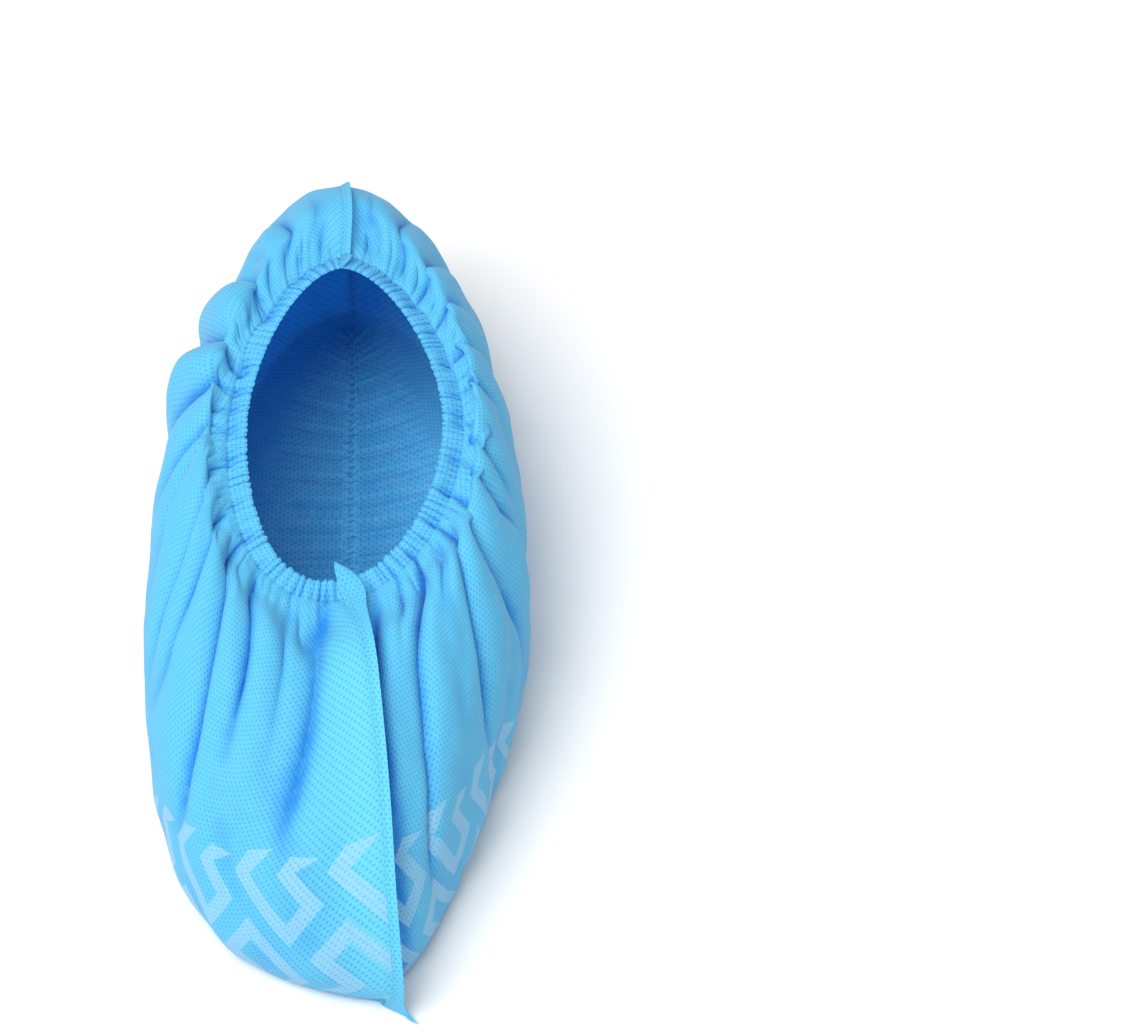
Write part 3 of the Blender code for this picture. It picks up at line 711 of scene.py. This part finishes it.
def relax(grid, points, rounds, bending, slack):
    """Lets the sheet settle: it keeps its own lengths, bends smoothly and stays off the foot."""
    free = np.ones((grid.rows, grid.columns, 1))
    free[[0, -1]] = 0.0
    free[:, [0, grid.half]] = 0.0
    pinned = points.copy()
    rests = [size(thread_steps(points, thread)) for thread in THREADS]
    rests[0] = blurred(rests[0], 1) * slack
    ridge = weld_pull(grid) * weld_at(grid.drops).above[:, None]
    outwards = ROOM_OUTWARDS * ramp(grid.drops, 0.0, FULL_ROOM_DROP)[:, None]
    low = ridge + np.minimum(grid.heights, 0.0) * DEEPER_VALLEYS - ROOM_INWARDS
    high = ridge + np.maximum(grid.heights, 0.0) + outwards
    highest = np.where(grid.drops > FLOOR_DROP, ROOM_UNDER_FOOT, COVER_LENGTH)[:, None]
    sign = float(np.sign(np.sum(ring_normals(points) * grid.normals)))
    for step in range(rounds):
        move = np.zeros_like(points)
        for thread, rest in zip(THREADS, rests):
            steps = thread_steps(points, thread)
            length = size(steps)
            pull = steps * ((length - rest) / np.maximum(length, 1e-9) * 0.5 * thread.pull)[:, :, None]
            move[:grid.rows - thread.rows] += pull
            move[thread.rows:] -= np.roll(pull, thread.columns, axis=1)
        move -= bending * sag(sag(points))
        move[1:-1] += BENDING_DOWN * bending * (points[2:] + points[:-2] - 2 * points[1:-1])
        move += ring_normals(points) * sign * AIR_PUSH
        points = points + move * free * STEP_SHARE
        up = np.sum((points - grid.base) * grid.normals, axis=2)
        points = points + (np.clip(up, low, high) - up)[:, :, None] * grid.normals * free
        points[:, :, 2] = np.clip(points[:, :, 2], FLOOR_CLEARANCE, highest)
        points = points * free + pinned * (1 - free)
    return points


def sheet_points():
    """The relaxed sheet on the finest grid, in the local frame: what relaxing a coarse grid changed
    is carried to the next one, where the finer folds are laid on."""
    settled = None
    for level, (rounds, bending, slack) in enumerate(RELAXING):
        grid = Grid(COARSE_COLUMNS * 2**level, COARSE_ROWS * 2**level + 1, level == len(RELAXING) - 1)
        plan = designed(grid)
        start = plan if settled is None else plan + refine(settled)
        start = relax(grid, pin_rims(grid, start), rounds, bending, slack)
        settled = start - plan
        for turn in range(SMOOTHINGS):
            settled[1:-1] = (settled[1:-1] * 2 + settled[2:] + settled[:-2]) / 4
            settled = (settled * 2 + np.roll(settled, 1, axis=1) + np.roll(settled, -1, axis=1)) / 4
    return grid, start


def refine(values):
    """A grid of vectors at twice the resolution, periodic round the ring."""
    between = 9 * (values + np.roll(values, -1, axis=1))
    between = (between - np.roll(values, 1, axis=1) - np.roll(values, -2, axis=1)) / 16
    wide = np.stack([values, between], axis=2).reshape(len(values), -1, 3)
    tall = np.repeat(wide, 2, axis=0)[:-1]
    tall[1::2] = (wide[1:] + wide[:-1]) / 2
    return tall


def local_to_world():
    """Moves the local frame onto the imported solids, by the hem's box."""
    even = np.linspace(0.0, 1.0, RING_SAMPLES)
    ring = joined(*[half_ring(0.0, side, even)[0] for side in (1, -1)])
    foot = ring + hem_direction(ring) * HEM_WIDTH
    low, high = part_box("mouth_hem")
    middle = (foot.min(axis=0) + foot.max(axis=0)) / 2
    return np.array([(low.x + high.x) / 2 - middle[0], (low.y + high.y) / 2 - middle[1], 0.0])


def quads(index):
    """The corners of each cell of a grid of point numbers."""
    corners = (index[:-1, :-1], index[1:, :-1], index[1:, 1:], index[:-1, 1:])
    return np.stack(corners, axis=-1).reshape(-1, 4)


def sheet_piece(name, top, under, material, flats, **shades):
    """A thin closed sheet between two grids of points, with the named shades at its points."""
    count = top.shape[0] * top.shape[1]
    index = np.arange(count).reshape(top.shape[:2])
    faces = [quads(index), quads(index)[:, ::-1] + count]
    for line in (index[0], index[-1][::-1], index[:, -1], index[:, 0][::-1]):
        faces.append(np.stack([line[:-1], line[1:], line[1:] + count, line[:-1] + count], axis=-1))
    verts = np.concatenate([top.reshape(-1, 3), under.reshape(-1, 3)])
    flats = {key: np.tile(flat.reshape(-1, 2), (2, 1)) for key, flat in flats.items()}
    shades = {key: np.tile(values.ravel(), 2) for key, values in shades.items()}
    shades["inner"] = np.repeat([0.0, 1.0], count)
    return piece(name, verts, np.concatenate(faces), material, flats, shades)


def new_object(name, data):
    obj = bpy.data.objects.new(name, data)
    bpy.context.scene.collection.objects.link(obj)
    return obj


def piece(name, verts, faces, material, flats, shades):
    """A smooth piece with its flat coordinates and the shades at its points, in place of its node."""
    mesh = bpy.data.meshes.new(name)
    mesh.from_pydata((verts + SHIFT).tolist(), [], faces.tolist())
    mesh.materials.append(material)
    for key, flat in flats.items():
        layer = mesh.uv_layers.new(name=key)
        layer.data.foreach_set("uv", flat[faces.ravel()].astype(np.float32).ravel())
    for key, values in shades.items():
        layer = mesh.attributes.new(key, "FLOAT", "POINT")
        layer.data.foreach_set("value", values.astype(np.float32))
    mesh.shade_smooth()
    mesh.set_sharp_from_angle(angle=SHARP_EDGE)
    mesh.update()
    obj = new_object(name, mesh)
    node, slot = PIECES[name]
    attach(obj, "root")
    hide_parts(node)
    return obj


class Shader:
    """Builds a material's node tree from short sums: sockets and numbers go in, a socket comes out."""

    def __init__(self, name):
        self.material = bpy.data.materials.new(name)
        self.material.use_nodes = True
        self.tree = self.material.node_tree
        self.tree.nodes.clear()

    def node(self, kind, **values):
        node = self.tree.nodes.new("ShaderNode" + kind)
        for key, value in values.items():
            setattr(node, key, value)
        return node

    def feed(self, inputs, values):
        """Links or sets each named or numbered input."""
        for key, value in values.items():
            if isinstance(value, bpy.types.NodeSocket):
                self.tree.links.new(value, inputs[key])
            else:
                inputs[key].default_value = value

    def made(self, kind, inputs, output=0, **values):
        """The output of a new node with these inputs."""
        node = self.node(kind, **values)
        self.feed(node.inputs, inputs)
        return node.outputs[output]

    def sum(self, operation, first, *others):
        """The operation on one value, or carried through all of them."""
        if not others:
            return self.made("Math", {0: first}, operation=operation)
        for other in others:
            first = self.made("Math", {0: first, 1: other}, operation=operation)
        return first

    add = partialmethod(sum, "ADD")
    minus = partialmethod(sum, "SUBTRACT")
    times = partialmethod(sum, "MULTIPLY")
    over = partialmethod(sum, "DIVIDE")
    least = partialmethod(sum, "MINIMUM")
    most = partialmethod(sum, "MAXIMUM")
    size = partialmethod(sum, "ABSOLUTE")
    fraction = partialmethod(sum, "FRACT")

    def rise(self, value, low, high):
        """0 below low, 1 above high, smooth between."""
        inputs = {"Value": value, "From Min": low, "From Max": high}
        return self.made("MapRange", inputs, "Result", interpolation_type="SMOOTHSTEP")

    def mix(self, share, a, b):
        return self.made("Mix", {0: share, 6: a, 7: b}, 2, data_type="RGBA")

    def noise(self, scale, detail=3.0):
        place = self.node("TexCoord").outputs["Object"]
        inputs = {"Vector": place, "Scale": scale, "Detail": detail, "Roughness": NOISE_ROUGHNESS}
        return self.made("TexNoise", inputs, "Fac")

    def flat_place(self, layer):
        """The flat sheet's own coordinates in metres: along the cover, and up from the sole's fold."""
        split = self.node("SeparateXYZ")
        self.feed(split.inputs, {0: self.node("UVMap", uv_map=layer).outputs["UV"]})
        return split.outputs["X"], split.outputs["Y"]

    def attribute(self, name):
        return self.node("Attribute", attribute_name=name).outputs["Fac"]

    def finish(self, surface):
        self.feed(self.node("OutputMaterial").inputs, {"Surface": surface})
        return self.material


def embossed_dots(sh, along, up):
    """1 inside each pressed dot of the staggered pattern, 0 between."""
    row = sh.over(up, DOT_ROW)
    shift = sh.times(sh.sum("MODULO", sh.sum("FLOOR", row), 2.0), 0.5)
    across = sh.minus(sh.fraction(sh.add(sh.over(along, DOT_PITCH), shift)), 0.5)
    down = sh.minus(sh.fraction(row), 0.5)
    x = sh.times(across, DOT_PITCH / DOT_RADIUS)
    y = sh.times(down, DOT_ROW / DOT_RADIUS)
    away = sh.sum("SQRT", sh.add(sh.times(x, x), sh.times(y, y)))
    return sh.minus(1.0, sh.rise(away, *DOT_EDGE))


def inside_polygon(sh, x, y, corners):
    """How far a point lies inside a convex polygon whose corners run anticlockwise, in metres."""
    distances = []
    for (x0, y0), (x1, y1) in zip(corners, corners[1:] + corners[:1]):
        run = math.hypot(x1 - x0, y1 - y0)
        a, b = -(y1 - y0) / run, (x1 - x0) / run
        c = -(a * x0 + b * y0)
        distances.append(sh.add(sh.times(x, a), sh.times(y, b), c))
    return sh.least(*distances)


def print_row(sh, along, up, on_left, row):
    """How far a point lies inside the zigzags of one row of the print."""
    first_along = sh.add(row.right_along, sh.times(on_left, row.left_along - row.right_along))
    first_up = sh.add(row.right_up, sh.times(on_left, row.left_up - row.right_up))
    away = sh.times(sh.minus(along, first_along), row.turn)
    steps = sh.over(sh.minus(PRINT_MARGIN, away), PRINT_PITCH)
    s = sh.minus(PRINT_MARGIN, sh.times(sh.fraction(steps), PRINT_PITCH))
    t = sh.times(sh.minus(up, first_up), row.turn)
    x = sh.times(sh.minus(t, s), math.sqrt(0.5))
    y = sh.times(sh.add(t, s), -math.sqrt(0.5))
    return sh.most(*[inside_polygon(sh, x, y, shape) for shape in PRINT_SHAPES])


def tread_print(sh):
    """How far a point lies inside the anti-slip print: two rows of zigzags on each panel, at 45
    degrees to the sole's fold, every other row turned round."""
    along, up = sh.flat_place("print_uv")
    on_left = sh.sum("GREATER_THAN", up, 0.0)
    return sh.most(*[print_row(sh, along, up, on_left, row) for row in PRINT_ROWS])


def weld_line_marks(sh):
    """1 on the two thin pressed lines beside the weld, broken into short dashes."""
    across, down = sh.flat_place("cloth_uv")
    lines = [sh.minus(1.0, sh.rise(sh.size(sh.minus(across, place)), *WELD_LINE_EDGE))
             for place in WELD_LINES]
    dash = sh.rise(sh.sum("PINGPONG", down, WELD_DASH), 0.2 * WELD_DASH, 0.5 * WELD_DASH)
    return sh.times(sh.most(*lines), dash)


def cloth_material(name, printed=True, weld=False):
    """Embossed spunbond sheet: soft, slightly translucent, paler where the tread print coats it. Its
    hollows get painted shade, and beside the toe weld it is painted paler, partly for the double layer and
    partly as a painted highlight.
    """
    sh = Shader(name)
    dots = embossed_dots(sh, *sh.flat_place("cloth_uv"))
    hollow = sh.attribute("hollow")
    cloud = sh.noise(CLOUD_SCALE)
    fibres = sh.noise(FIBRE_SCALE, detail=2.0)
    # Painted shade: the colour goes to a deeper blue in the sheet's hollows
    colour = sh.mix(sh.rise(hollow, 0.0, 1.0), CREST_BLUE, PAINTED_SHADE_BLUE)
    colour = sh.mix(sh.times(sh.rise(cloud, 0.35, 0.75), CLOUD_SHARE), colour, CLOUD_BLUE)
    # Painted paler beside the toe weld, partly for the double layer and partly as a painted highlight
    colour = sh.mix(sh.times(sh.attribute("pale"), PALE_HIGHLIGHT_SHARE), colour, PALE_HIGHLIGHT_BLUE)
    # The dots show darker as a pattern, and darker still in the hollows as painted shade
    dot_tone_and_painted_shade = sh.add(0.42, sh.times(hollow, 0.45))
    colour = sh.mix(sh.times(dots, dot_tone_and_painted_shade), colour, DOT_BLUE)
    height = sh.add(sh.times(dots, -1.0), sh.times(fibres, 0.35))
    rough = CLOTH_ROUGHNESS
    if printed:
        ragged = sh.add(tread_print(sh), sh.times(sh.minus(fibres, 0.5), PRINT_RAGGED))
        outer = sh.minus(1.0, sh.times(sh.attribute("inner"), INNER_SHARE))
        mask = sh.times(sh.rise(ragged, *PRINT_EDGE), outer)
        coat = sh.times(mask, sh.minus(0.80, sh.times(dots, 0.35)))
        colour = sh.mix(coat, colour, PRINT_BLUE)
        specks = sh.times(mask, sh.rise(sh.noise(SPECK_SCALE, detail=1.0), 0.60, 0.72))
        colour = sh.mix(sh.times(specks, 0.5), colour, PRINT_SPECK)
        rough = sh.minus(CLOTH_ROUGHNESS, sh.times(mask, PRINT_SMOOTHNESS))
    if weld:
        marks = weld_line_marks(sh)
        colour = sh.mix(sh.times(marks, 0.35), colour, DOT_BLUE)
        height = sh.minus(height, marks)
    bump = {"Strength": BUMP_STRENGTH, "Distance": BUMP_HEIGHT, "Height": height}
    main = sh.made("BsdfPrincipled", {
        "Base Color": colour,
        "Roughness": rough,
        "Specular IOR Level": CLOTH_SPECULAR,
        "Sheen Weight": CLOTH_SHEEN,
        "Normal": sh.made("Bump", bump),
    })
    through = sh.made("BsdfTranslucent", {"Color": sh.mix(0.75, colour, THROUGH_BLUE)})
    return sh.finish(sh.made("MixShader", {0: TRANSLUCENCY, 1: main, 2: through}))


def floor_material():
    sh = Shader("floor")
    white = {"Base Color": (0.92, 0.92, 0.92, 1.0), "Roughness": 0.9, "Specular IOR Level": 0.1}
    return sh.finish(sh.made("BsdfPrincipled", white))


def grid_normals(points):
    """Normals of an open grid, up to their sign."""
    return unit(np.cross(np.gradient(points, axis=0), np.gradient(points, axis=1)))


def flat_places(grid):
    """Flat coordinates of the grid's points, for the dots and for the print."""
    steps = size(np.diff(grid.base, axis=0))
    up = np.concatenate([np.cumsum(steps[::-1], axis=0)[::-1], 0 * steps[:1]])
    edge_row, middle_row = grid.row_at(FLOOR_DROP), grid.row_at(MIDDLE_DROP)
    from_weld = grid.from_weld[middle_row]
    dots = np.stack(np.broadcast_arrays(from_weld[None, :], up), axis=-1)
    way = np.minimum(from_weld, grid.from_weld[middle_row, grid.half] - from_weld)
    rise = up - up[edge_row] + np.interp(way, PRINT_EDGE_WAYS, PRINT_EDGE_HEIGHTS)[None, :]
    rise = PRINT_RISE_SCALE * rise + PRINT_RISE_SHIFT
    on_sole = (np.arange(grid.rows) > edge_row)[:, None]
    fold = grid.base[-1, :grid.half + 1]
    centre = np.interp(grid.base[:, :, 1], fold[:, 1], fold[:, 0])
    rise = np.where(on_sole, abs(grid.base[:, :, 0] - centre), rise)
    run = np.where(on_sole, grid.base[:, :, 1] - grid.base[edge_row, 0, 1], from_weld[None, :])
    return dots, run, rise


def double_layer_and_highlight(grid, from_weld):
    """How pale the sheet is painted beside the toe weld: partly for the double layer where the light meets
    both layers, partly as a painted highlight on that flank.
    """
    down = ramp(grid.drops, *DOUBLE_LAYER_HIGHLIGHT_IN) * (1.0 - 0.6 * ramp(grid.drops, *DOUBLE_LAYER_HIGHLIGHT_OUT))
    return np.exp(-(from_weld / DOUBLE_LAYER_HIGHLIGHT_REACH) ** 2) * down[:, None]


def make_panels(grid, points, printed, plain):
    """The two sides of the cover, one sheet each, welded at the toe and at the heel. The outer
    points of the left one are returned, for the toe band."""
    all_round = np.arange(grid.columns + 1) % grid.columns
    sides = (("side_right", -1.0, all_round[:grid.half + 1]), ("side_left", 1.0, all_round[grid.half:]))
    dots, run, rise = flat_places(grid)
    stand = np.sum((points - grid.base) * grid.normals, axis=2)
    # Painted shade: how far each point lies below the points round it on the ring, softened
    hollow = (blurred(stand, PAINTED_SHADE_REACH) - stand) / PAINTED_SHADE_DEPTH + PAINTED_SHADE_START
    hollow = blurred(np.clip(hollow, 0.0, 1.0), PAINTED_SHADE_SOFTNESS)
    for name, sign, columns in sides:
        middle = points[:, columns]
        normals = grid_normals(middle)
        normals *= np.sign(np.sum(normals * grid.normals[:, columns]))
        top = middle + normals * SHEET_THICKNESS / 2
        under = middle - normals * SHEET_THICKNESS / 2
        lift = np.maximum(0.0, -top[:, :, 2])
        top[:, :, 2] += lift
        under[:, :, 2] = np.maximum(under[:, :, 2] + lift, SHEET_THICKNESS * 0.5)
        flats = {"cloth_uv": dots[:, columns]}
        flats["print_uv"] = np.stack([run[:, columns], sign * rise[:, columns]], axis=-1)
        # Painted paler beside the toe weld on the left panel only: the double layer there, with a painted
        # highlight on that flank
        pale = double_layer_and_highlight(grid, grid.from_weld[:, columns]) * max(0.0, sign)
        panel = sheet_piece(name, top, under, printed, flats, hollow=hollow[:, columns], pale=pale)
        panel.data.materials.append(plain)
        unprinted = (rise[:-1, columns[:-1]] > PRINT_REACH).ravel()
        index = np.zeros(len(panel.data.polygons), dtype=np.int32)
        index[:2 * len(unprinted)] = np.tile(unprinted, 2)
        panel.data.polygons.foreach_set("material_index", index)
    return top


def ruffles(seed):
    """Seeded ruffles round the hem, about a millimetre wide, in shares of their usual height."""
    values = np.random.default_rng(seed).normal(0.0, 1.0, HEM_COLUMNS)
    for turn in range(RUFFLE_SMOOTHINGS):
        values = (2 * values + np.roll(values, 1) + np.roll(values, -1)) / 4
    return values / values.std()


def make_hem(grid, material):
    """The gathered casing of the elastic: puckered pads between the rim and the sheet."""
    even = np.arange(HEM_COLUMNS) / HEM_COLUMNS * grid.columns
    share = np.interp(even, np.arange(grid.columns + 1), np.append(grid.shares[0], 0.0))
    half = HEM_COLUMNS // 2
    ring = np.concatenate([half_ring(0.0, 1, share[:half + 1])[0], half_ring(0.0, -1, share[half + 1:])[0]])
    run, across = hem_direction(ring), hem_across(ring)
    creases = pucker_creases(HEM_COLUMNS)[0]
    dips = hem_dips(share)
    near, far = [ruffles(seed) for seed in RUFFLE_SEEDS]
    reaches = np.concatenate([HEM_OVER, HEM_UNDER])
    loops, painted_shades = [], []
    for k, reach in enumerate(reaches):
        bulge = HEM_HEIGHT * (1.0 - abs(2 * reach - 1) ** HEM_POWERS[0]) ** HEM_POWERS[1]
        if k < len(HEM_OVER):
            foot = ramp(reach, *HEM_FOOT_IN)
            deep = PUCKER_DEPTH * ramp(reach, -0.15, 0.15) * (0.8 + 0.2 * foot)
            height = bulge * (1.0 - foot) + (HEM_FOOT_HEIGHT - HEM_FOOT_SUNK) * foot - creases * deep
            height += RUFFLE_HEIGHT * (near * (1.0 - reach) + far * reach) * (1.0 - foot)
        else:
            height = -bulge * 0.8 + creases * 0.0002
        rim = (creases * RIM_NOTCH - near * RUFFLE_HEIGHT) * max(0.0, 1.0 - reach / RIM_NOTCH_REACH)
        way = reach * (HEM_WIDTH + GAP + HEM_TUCK) + rim
        dip = dips * ramp(reach, *HEM_DIPS_IN)
        loops.append(ring + run * way[:, None] + across * (height + dip)[:, None])
        # Painted shade in the hem's creases and in the folds' dips
        painted_shades.append(np.clip(creases * CREASE_PAINTED_SHADE - dip / DIP_PAINTED_SHADE, 0.0, 1.0))
    around = np.cumsum(size(ring - np.roll(ring, 1, axis=0))) * HEM_GATHERS
    uv = np.stack(np.meshgrid(around, HEM_UP + reaches * HEM_WIDTH), axis=-1)
    index = np.arange(uv.size // 2).reshape(uv.shape[:2])
    faces = quads(np.pad(index, ((0, 1), (0, 1)), mode="wrap"))
    flats, shades = {"cloth_uv": uv.reshape(-1, 2)}, {"hollow": np.concatenate(painted_shades)}
    piece("hem", np.concatenate(loops), faces, material, flats, shades)


def smoothed(line, reach):
    """A line of points averaged over reach points to each side."""
    padded = np.concatenate([np.repeat(line[:1], reach, axis=0), line, np.repeat(line[-1:], reach, axis=0)])
    return sum(padded[k:k + len(line)] for k in range(2 * reach + 1)) / (2 * reach + 1)


def make_toe_band(grid, top, material):
    """The welded band beyond the toe weld's line, flush with the left panel: a pointed flap over
    the hem, a narrow fin down the toe, and the pointed tail on the floor."""
    rows = slice(*np.searchsorted(grid.drops, (BAND_START_DROP, FLOOR_DROP)) + (0, 1))
    drops, edge = grid.drops[rows], top[rows, -1]
    outgoing = unit(smoothed(unit(edge - top[rows, -6]), 6))
    free = edge + outgoing * weld_at(drops).band[:, None]
    toward = ramp(drops, TAIL_DROP, FLOOR_DROP)[:, None] ** TAIL_POWER
    free = smoothed(free * (1 - toward) + np.array(TAIL_TIP) * toward, 2)
    free[-1] = TAIL_TIP
    along = np.linspace(0.0, 1.0, FLAP_ROWS)
    corners = np.linspace(0.0, 1.0, len(FLAP_WELD_SIDE) + 1)
    flap = []
    for side, end in ((FLAP_WELD_SIDE, edge[0]), (FLAP_FREE_SIDE, free[0])):
        side = np.array(side + (tuple(end),))
        line = np.stack([np.interp(along, corners, side[:, k]) for k in range(3)], axis=-1)
        flap.append(smoothed(line, 2)[:-1])
    edge, free = np.concatenate([flap[0], edge]), np.concatenate([flap[1], free])
    shares = np.array(BAND_SHARES)
    middle = edge[:, None] + (free - edge)[:, None] * shares[None, :, None]
    curl = FLAP_CURL * np.clip(1.0 - np.arange(len(edge)) / (1.4 * FLAP_ROWS), 0.0, 1.0)
    middle[:, :, 2] += curl[:, None] * np.sin(np.pi * np.clip(shares, 0, 1))[None, :]
    middle[:, :, 2] = np.maximum(middle[:, :, 2], BAND_CLEARANCE)
    up = grid_normals(middle)
    up *= np.sign(np.sum(up[20:80, :, 2]))
    thick = FIN_THICKNESS * np.array(BAND_THICKNESSES)[None, :, None]
    across = size(free - edge)[:, None] * shares[None, :]
    down = running(size(np.diff(edge, axis=0)))
    uv = np.stack([across, np.broadcast_to(down[:, None], across.shape)], axis=-1)
    # Painted paler all across the band: the double layer, with a painted highlight
    pale = double_layer_and_highlight(grid, np.zeros((grid.rows, 1)))[rows]
    pale = np.concatenate([np.full((FLAP_ROWS - 1, 1), pale[0, 0]), pale]) * np.ones(len(shares))
    sheet_piece("toe_band", middle, middle - up * thick, material, {"cloth_uv": uv}, pale=pale)


def make_heel_band(grid, points, material):
    """The narrower band down the heel weld, which crosses the hem to a little tip at the rim."""
    rows = int(np.searchsorted(grid.drops, FLOOR_DROP)) + 1
    line, out = points[:rows, grid.half], grid.normals[:rows, grid.half]
    side = np.array([1.0, 0.0, 0.0])
    direction = unit(out * math.cos(HEEL_LEAN) + side * math.sin(HEEL_LEAN))
    tip = half_ring(0.0, 1, np.array([1.0]))[0][0] + np.array([0.0, 0.0, HEEL_CROSSING_HEIGHT])
    crossing = np.linspace(0.0, 1.0, HEEL_CROSSING_ROWS, endpoint=False)[:, None]
    bulge = direction[0] * HEEL_CROSSING_BULGE * np.sin(np.pi * crossing)
    line = np.concatenate([tip + (line[0] - tip) * crossing + bulge, line])
    direction = np.concatenate([np.repeat(direction[:1], HEEL_CROSSING_ROWS, axis=0), direction])
    start = np.linspace(HEEL_TIP_SHARE, 1.0, HEEL_CROSSING_ROWS)
    width = np.concatenate([start, 1.0 - 0.3 * ramp(grid.drops[:rows], *HEEL_BAND_OUT)]) * HEEL_BAND
    shares = np.array(HEEL_BAND_SHARES)
    middle = line[:, None] + direction[:, None] * width[:, None, None] * shares[None, :, None]
    up = grid_normals(middle)
    thick = FIN_THICKNESS / 2 * np.array(HEEL_BAND_THICKNESSES)[None, :, None]
    middle[:, :, 2] = np.maximum(middle[:, :, 2], LAID_CLEARANCE)
    uv = np.stack(np.meshgrid(shares * 0.003, np.arange(len(line)) * 0.0011), axis=-1)
    sheet_piece("heel_band", middle + up * thick, middle - up * thick, material, {"cloth_uv": uv})


def make_sole_strip(material):
    """The ruched elastic strip along the fold of the sole."""
    along = np.linspace(STRIP_FRONT, STRIP_BACK, STRIP_PUCKERS * STRIP_ROWS_A_PUCKER + 1)
    fold = half_ring(1.0, 1, np.linspace(0.0, 1.0, 721))[0]
    middle_x = np.interp(along, fold[:, 1], fold[:, 0])
    across = np.linspace(-1.0, 1.0, STRIP_COLUMNS)
    random = np.random.default_rng(STRIP_SEED)
    shifts, tilts = random.uniform(-STRIP_JITTER, STRIP_JITTER, (2, STRIP_PUCKERS + 1))
    places = (along - STRIP_FRONT) / (STRIP_BACK - STRIP_FRONT) * STRIP_PUCKERS
    steps = np.arange(STRIP_PUCKERS + 1)
    phase = 2 * math.pi * places + np.interp(places, steps, shifts)
    slant = np.interp(places, steps, tilts)[:, None] * across[None, :]
    wave = np.sin(phase[:, None] + slant) * (1.0 - 0.45 * abs(across) ** 3)[None, :]
    width = STRIP_HALF_WIDTH * (1.0 + 0.16 * np.sin(phase + 0.8))
    x = middle_x[:, None] + width[:, None] * across[None, :]
    y = np.broadcast_to(along[:, None], x.shape) + 0.0004 * np.sin(across * 3)[None, :]
    centre = np.stack([x, y, STRIP_HEIGHT + STRIP_WAVE * wave], axis=-1)
    thick = np.zeros((1, STRIP_COLUMNS, 3))
    thick[0, :, 2] = STRIP_HALF_THICKNESS * (1.0 - 0.7 * abs(across) ** 4)
    uv = np.stack(np.meshgrid(across * 0.004, along), axis=-1)
    # Painted shade along the strip's puckers, following their wave
    hollow = np.clip(0.35 + 0.6 * wave, 0.0, 1.0)
    sheet_piece("sole_strip", centre + thick, centre - thick, material, {"cloth_uv": uv}, hollow=hollow)


def make_camera():
    """The photo's camera: its angle, its distance and its frame."""
    turn = Matrix.Rotation(CAMERA_YAW, 4, "Z") @ Matrix.Rotation(math.pi / 2 - CAMERA_ELEVATION, 4, "X")
    back = Vector((FRAME_WIDTH_PX / 2 - TARGET_PX[0], TARGET_PX[1] - FRAME_HEIGHT_PX / 2, LENS_PX))
    place = TARGET + Vector(SHIFT) + turn @ back * (CAMERA_DEPTH / LENS_PX)
    data = bpy.data.cameras.new("camera")
    data.sensor_width = SENSOR_MM
    data.lens = LENS_PX / FRAME_WIDTH_PX * SENSOR_MM
    data.clip_start = 0.05
    camera = new_object("camera", data)
    camera.matrix_world = Matrix.Translation(place) @ turn
    bpy.context.scene.camera = camera


def make_stage():
    """The white floor, the soft white surroundings and one broad light."""
    mesh = bpy.data.meshes.new("floor")
    corners = [(x * FLOOR_SIZE, y * FLOOR_SIZE, 0.0) for x, y in ((-1, -1), (1, -1), (1, 1), (-1, 1))]
    mesh.from_pydata(corners, [], [(0, 1, 2, 3)])
    mesh.materials.append(floor_material())
    floor = new_object("floor", mesh)
    floor.location.z = FLOOR_LEVEL
    world = bpy.data.worlds.new("world")
    world.use_nodes = True
    background = world.node_tree.nodes["Background"]
    background.inputs["Color"].default_value = (1, 1, 1, 1)
    background.inputs["Strength"].default_value = WORLD_STRENGTH
    bpy.context.scene.world = world
    data = bpy.data.lights.new("key", "AREA")
    data.size, data.energy = KEY_SIZE, KEY_ENERGY
    key = new_object("key", data)
    key.location = KEY_PLACE
    key.rotation_euler = (-key.location).to_track_quat("-Z", "Y").to_euler()
    bpy.context.scene.view_settings.view_transform = "Standard"


SHIFT = local_to_world()
make_camera()
cloth = cloth_material("nonwoven")
plain_cloth = cloth_material("nonwoven_hem", printed=False)
welded_cloth = cloth_material("nonwoven_weld", printed=False, weld=True)
grid, points = sheet_points()
left_top = make_panels(grid, points, cloth, plain_cloth)
make_hem(grid, plain_cloth)
make_toe_band(grid, left_top, welded_cloth)
make_heel_band(grid, points, welded_cloth)
make_sole_strip(plain_cloth)
make_stage()
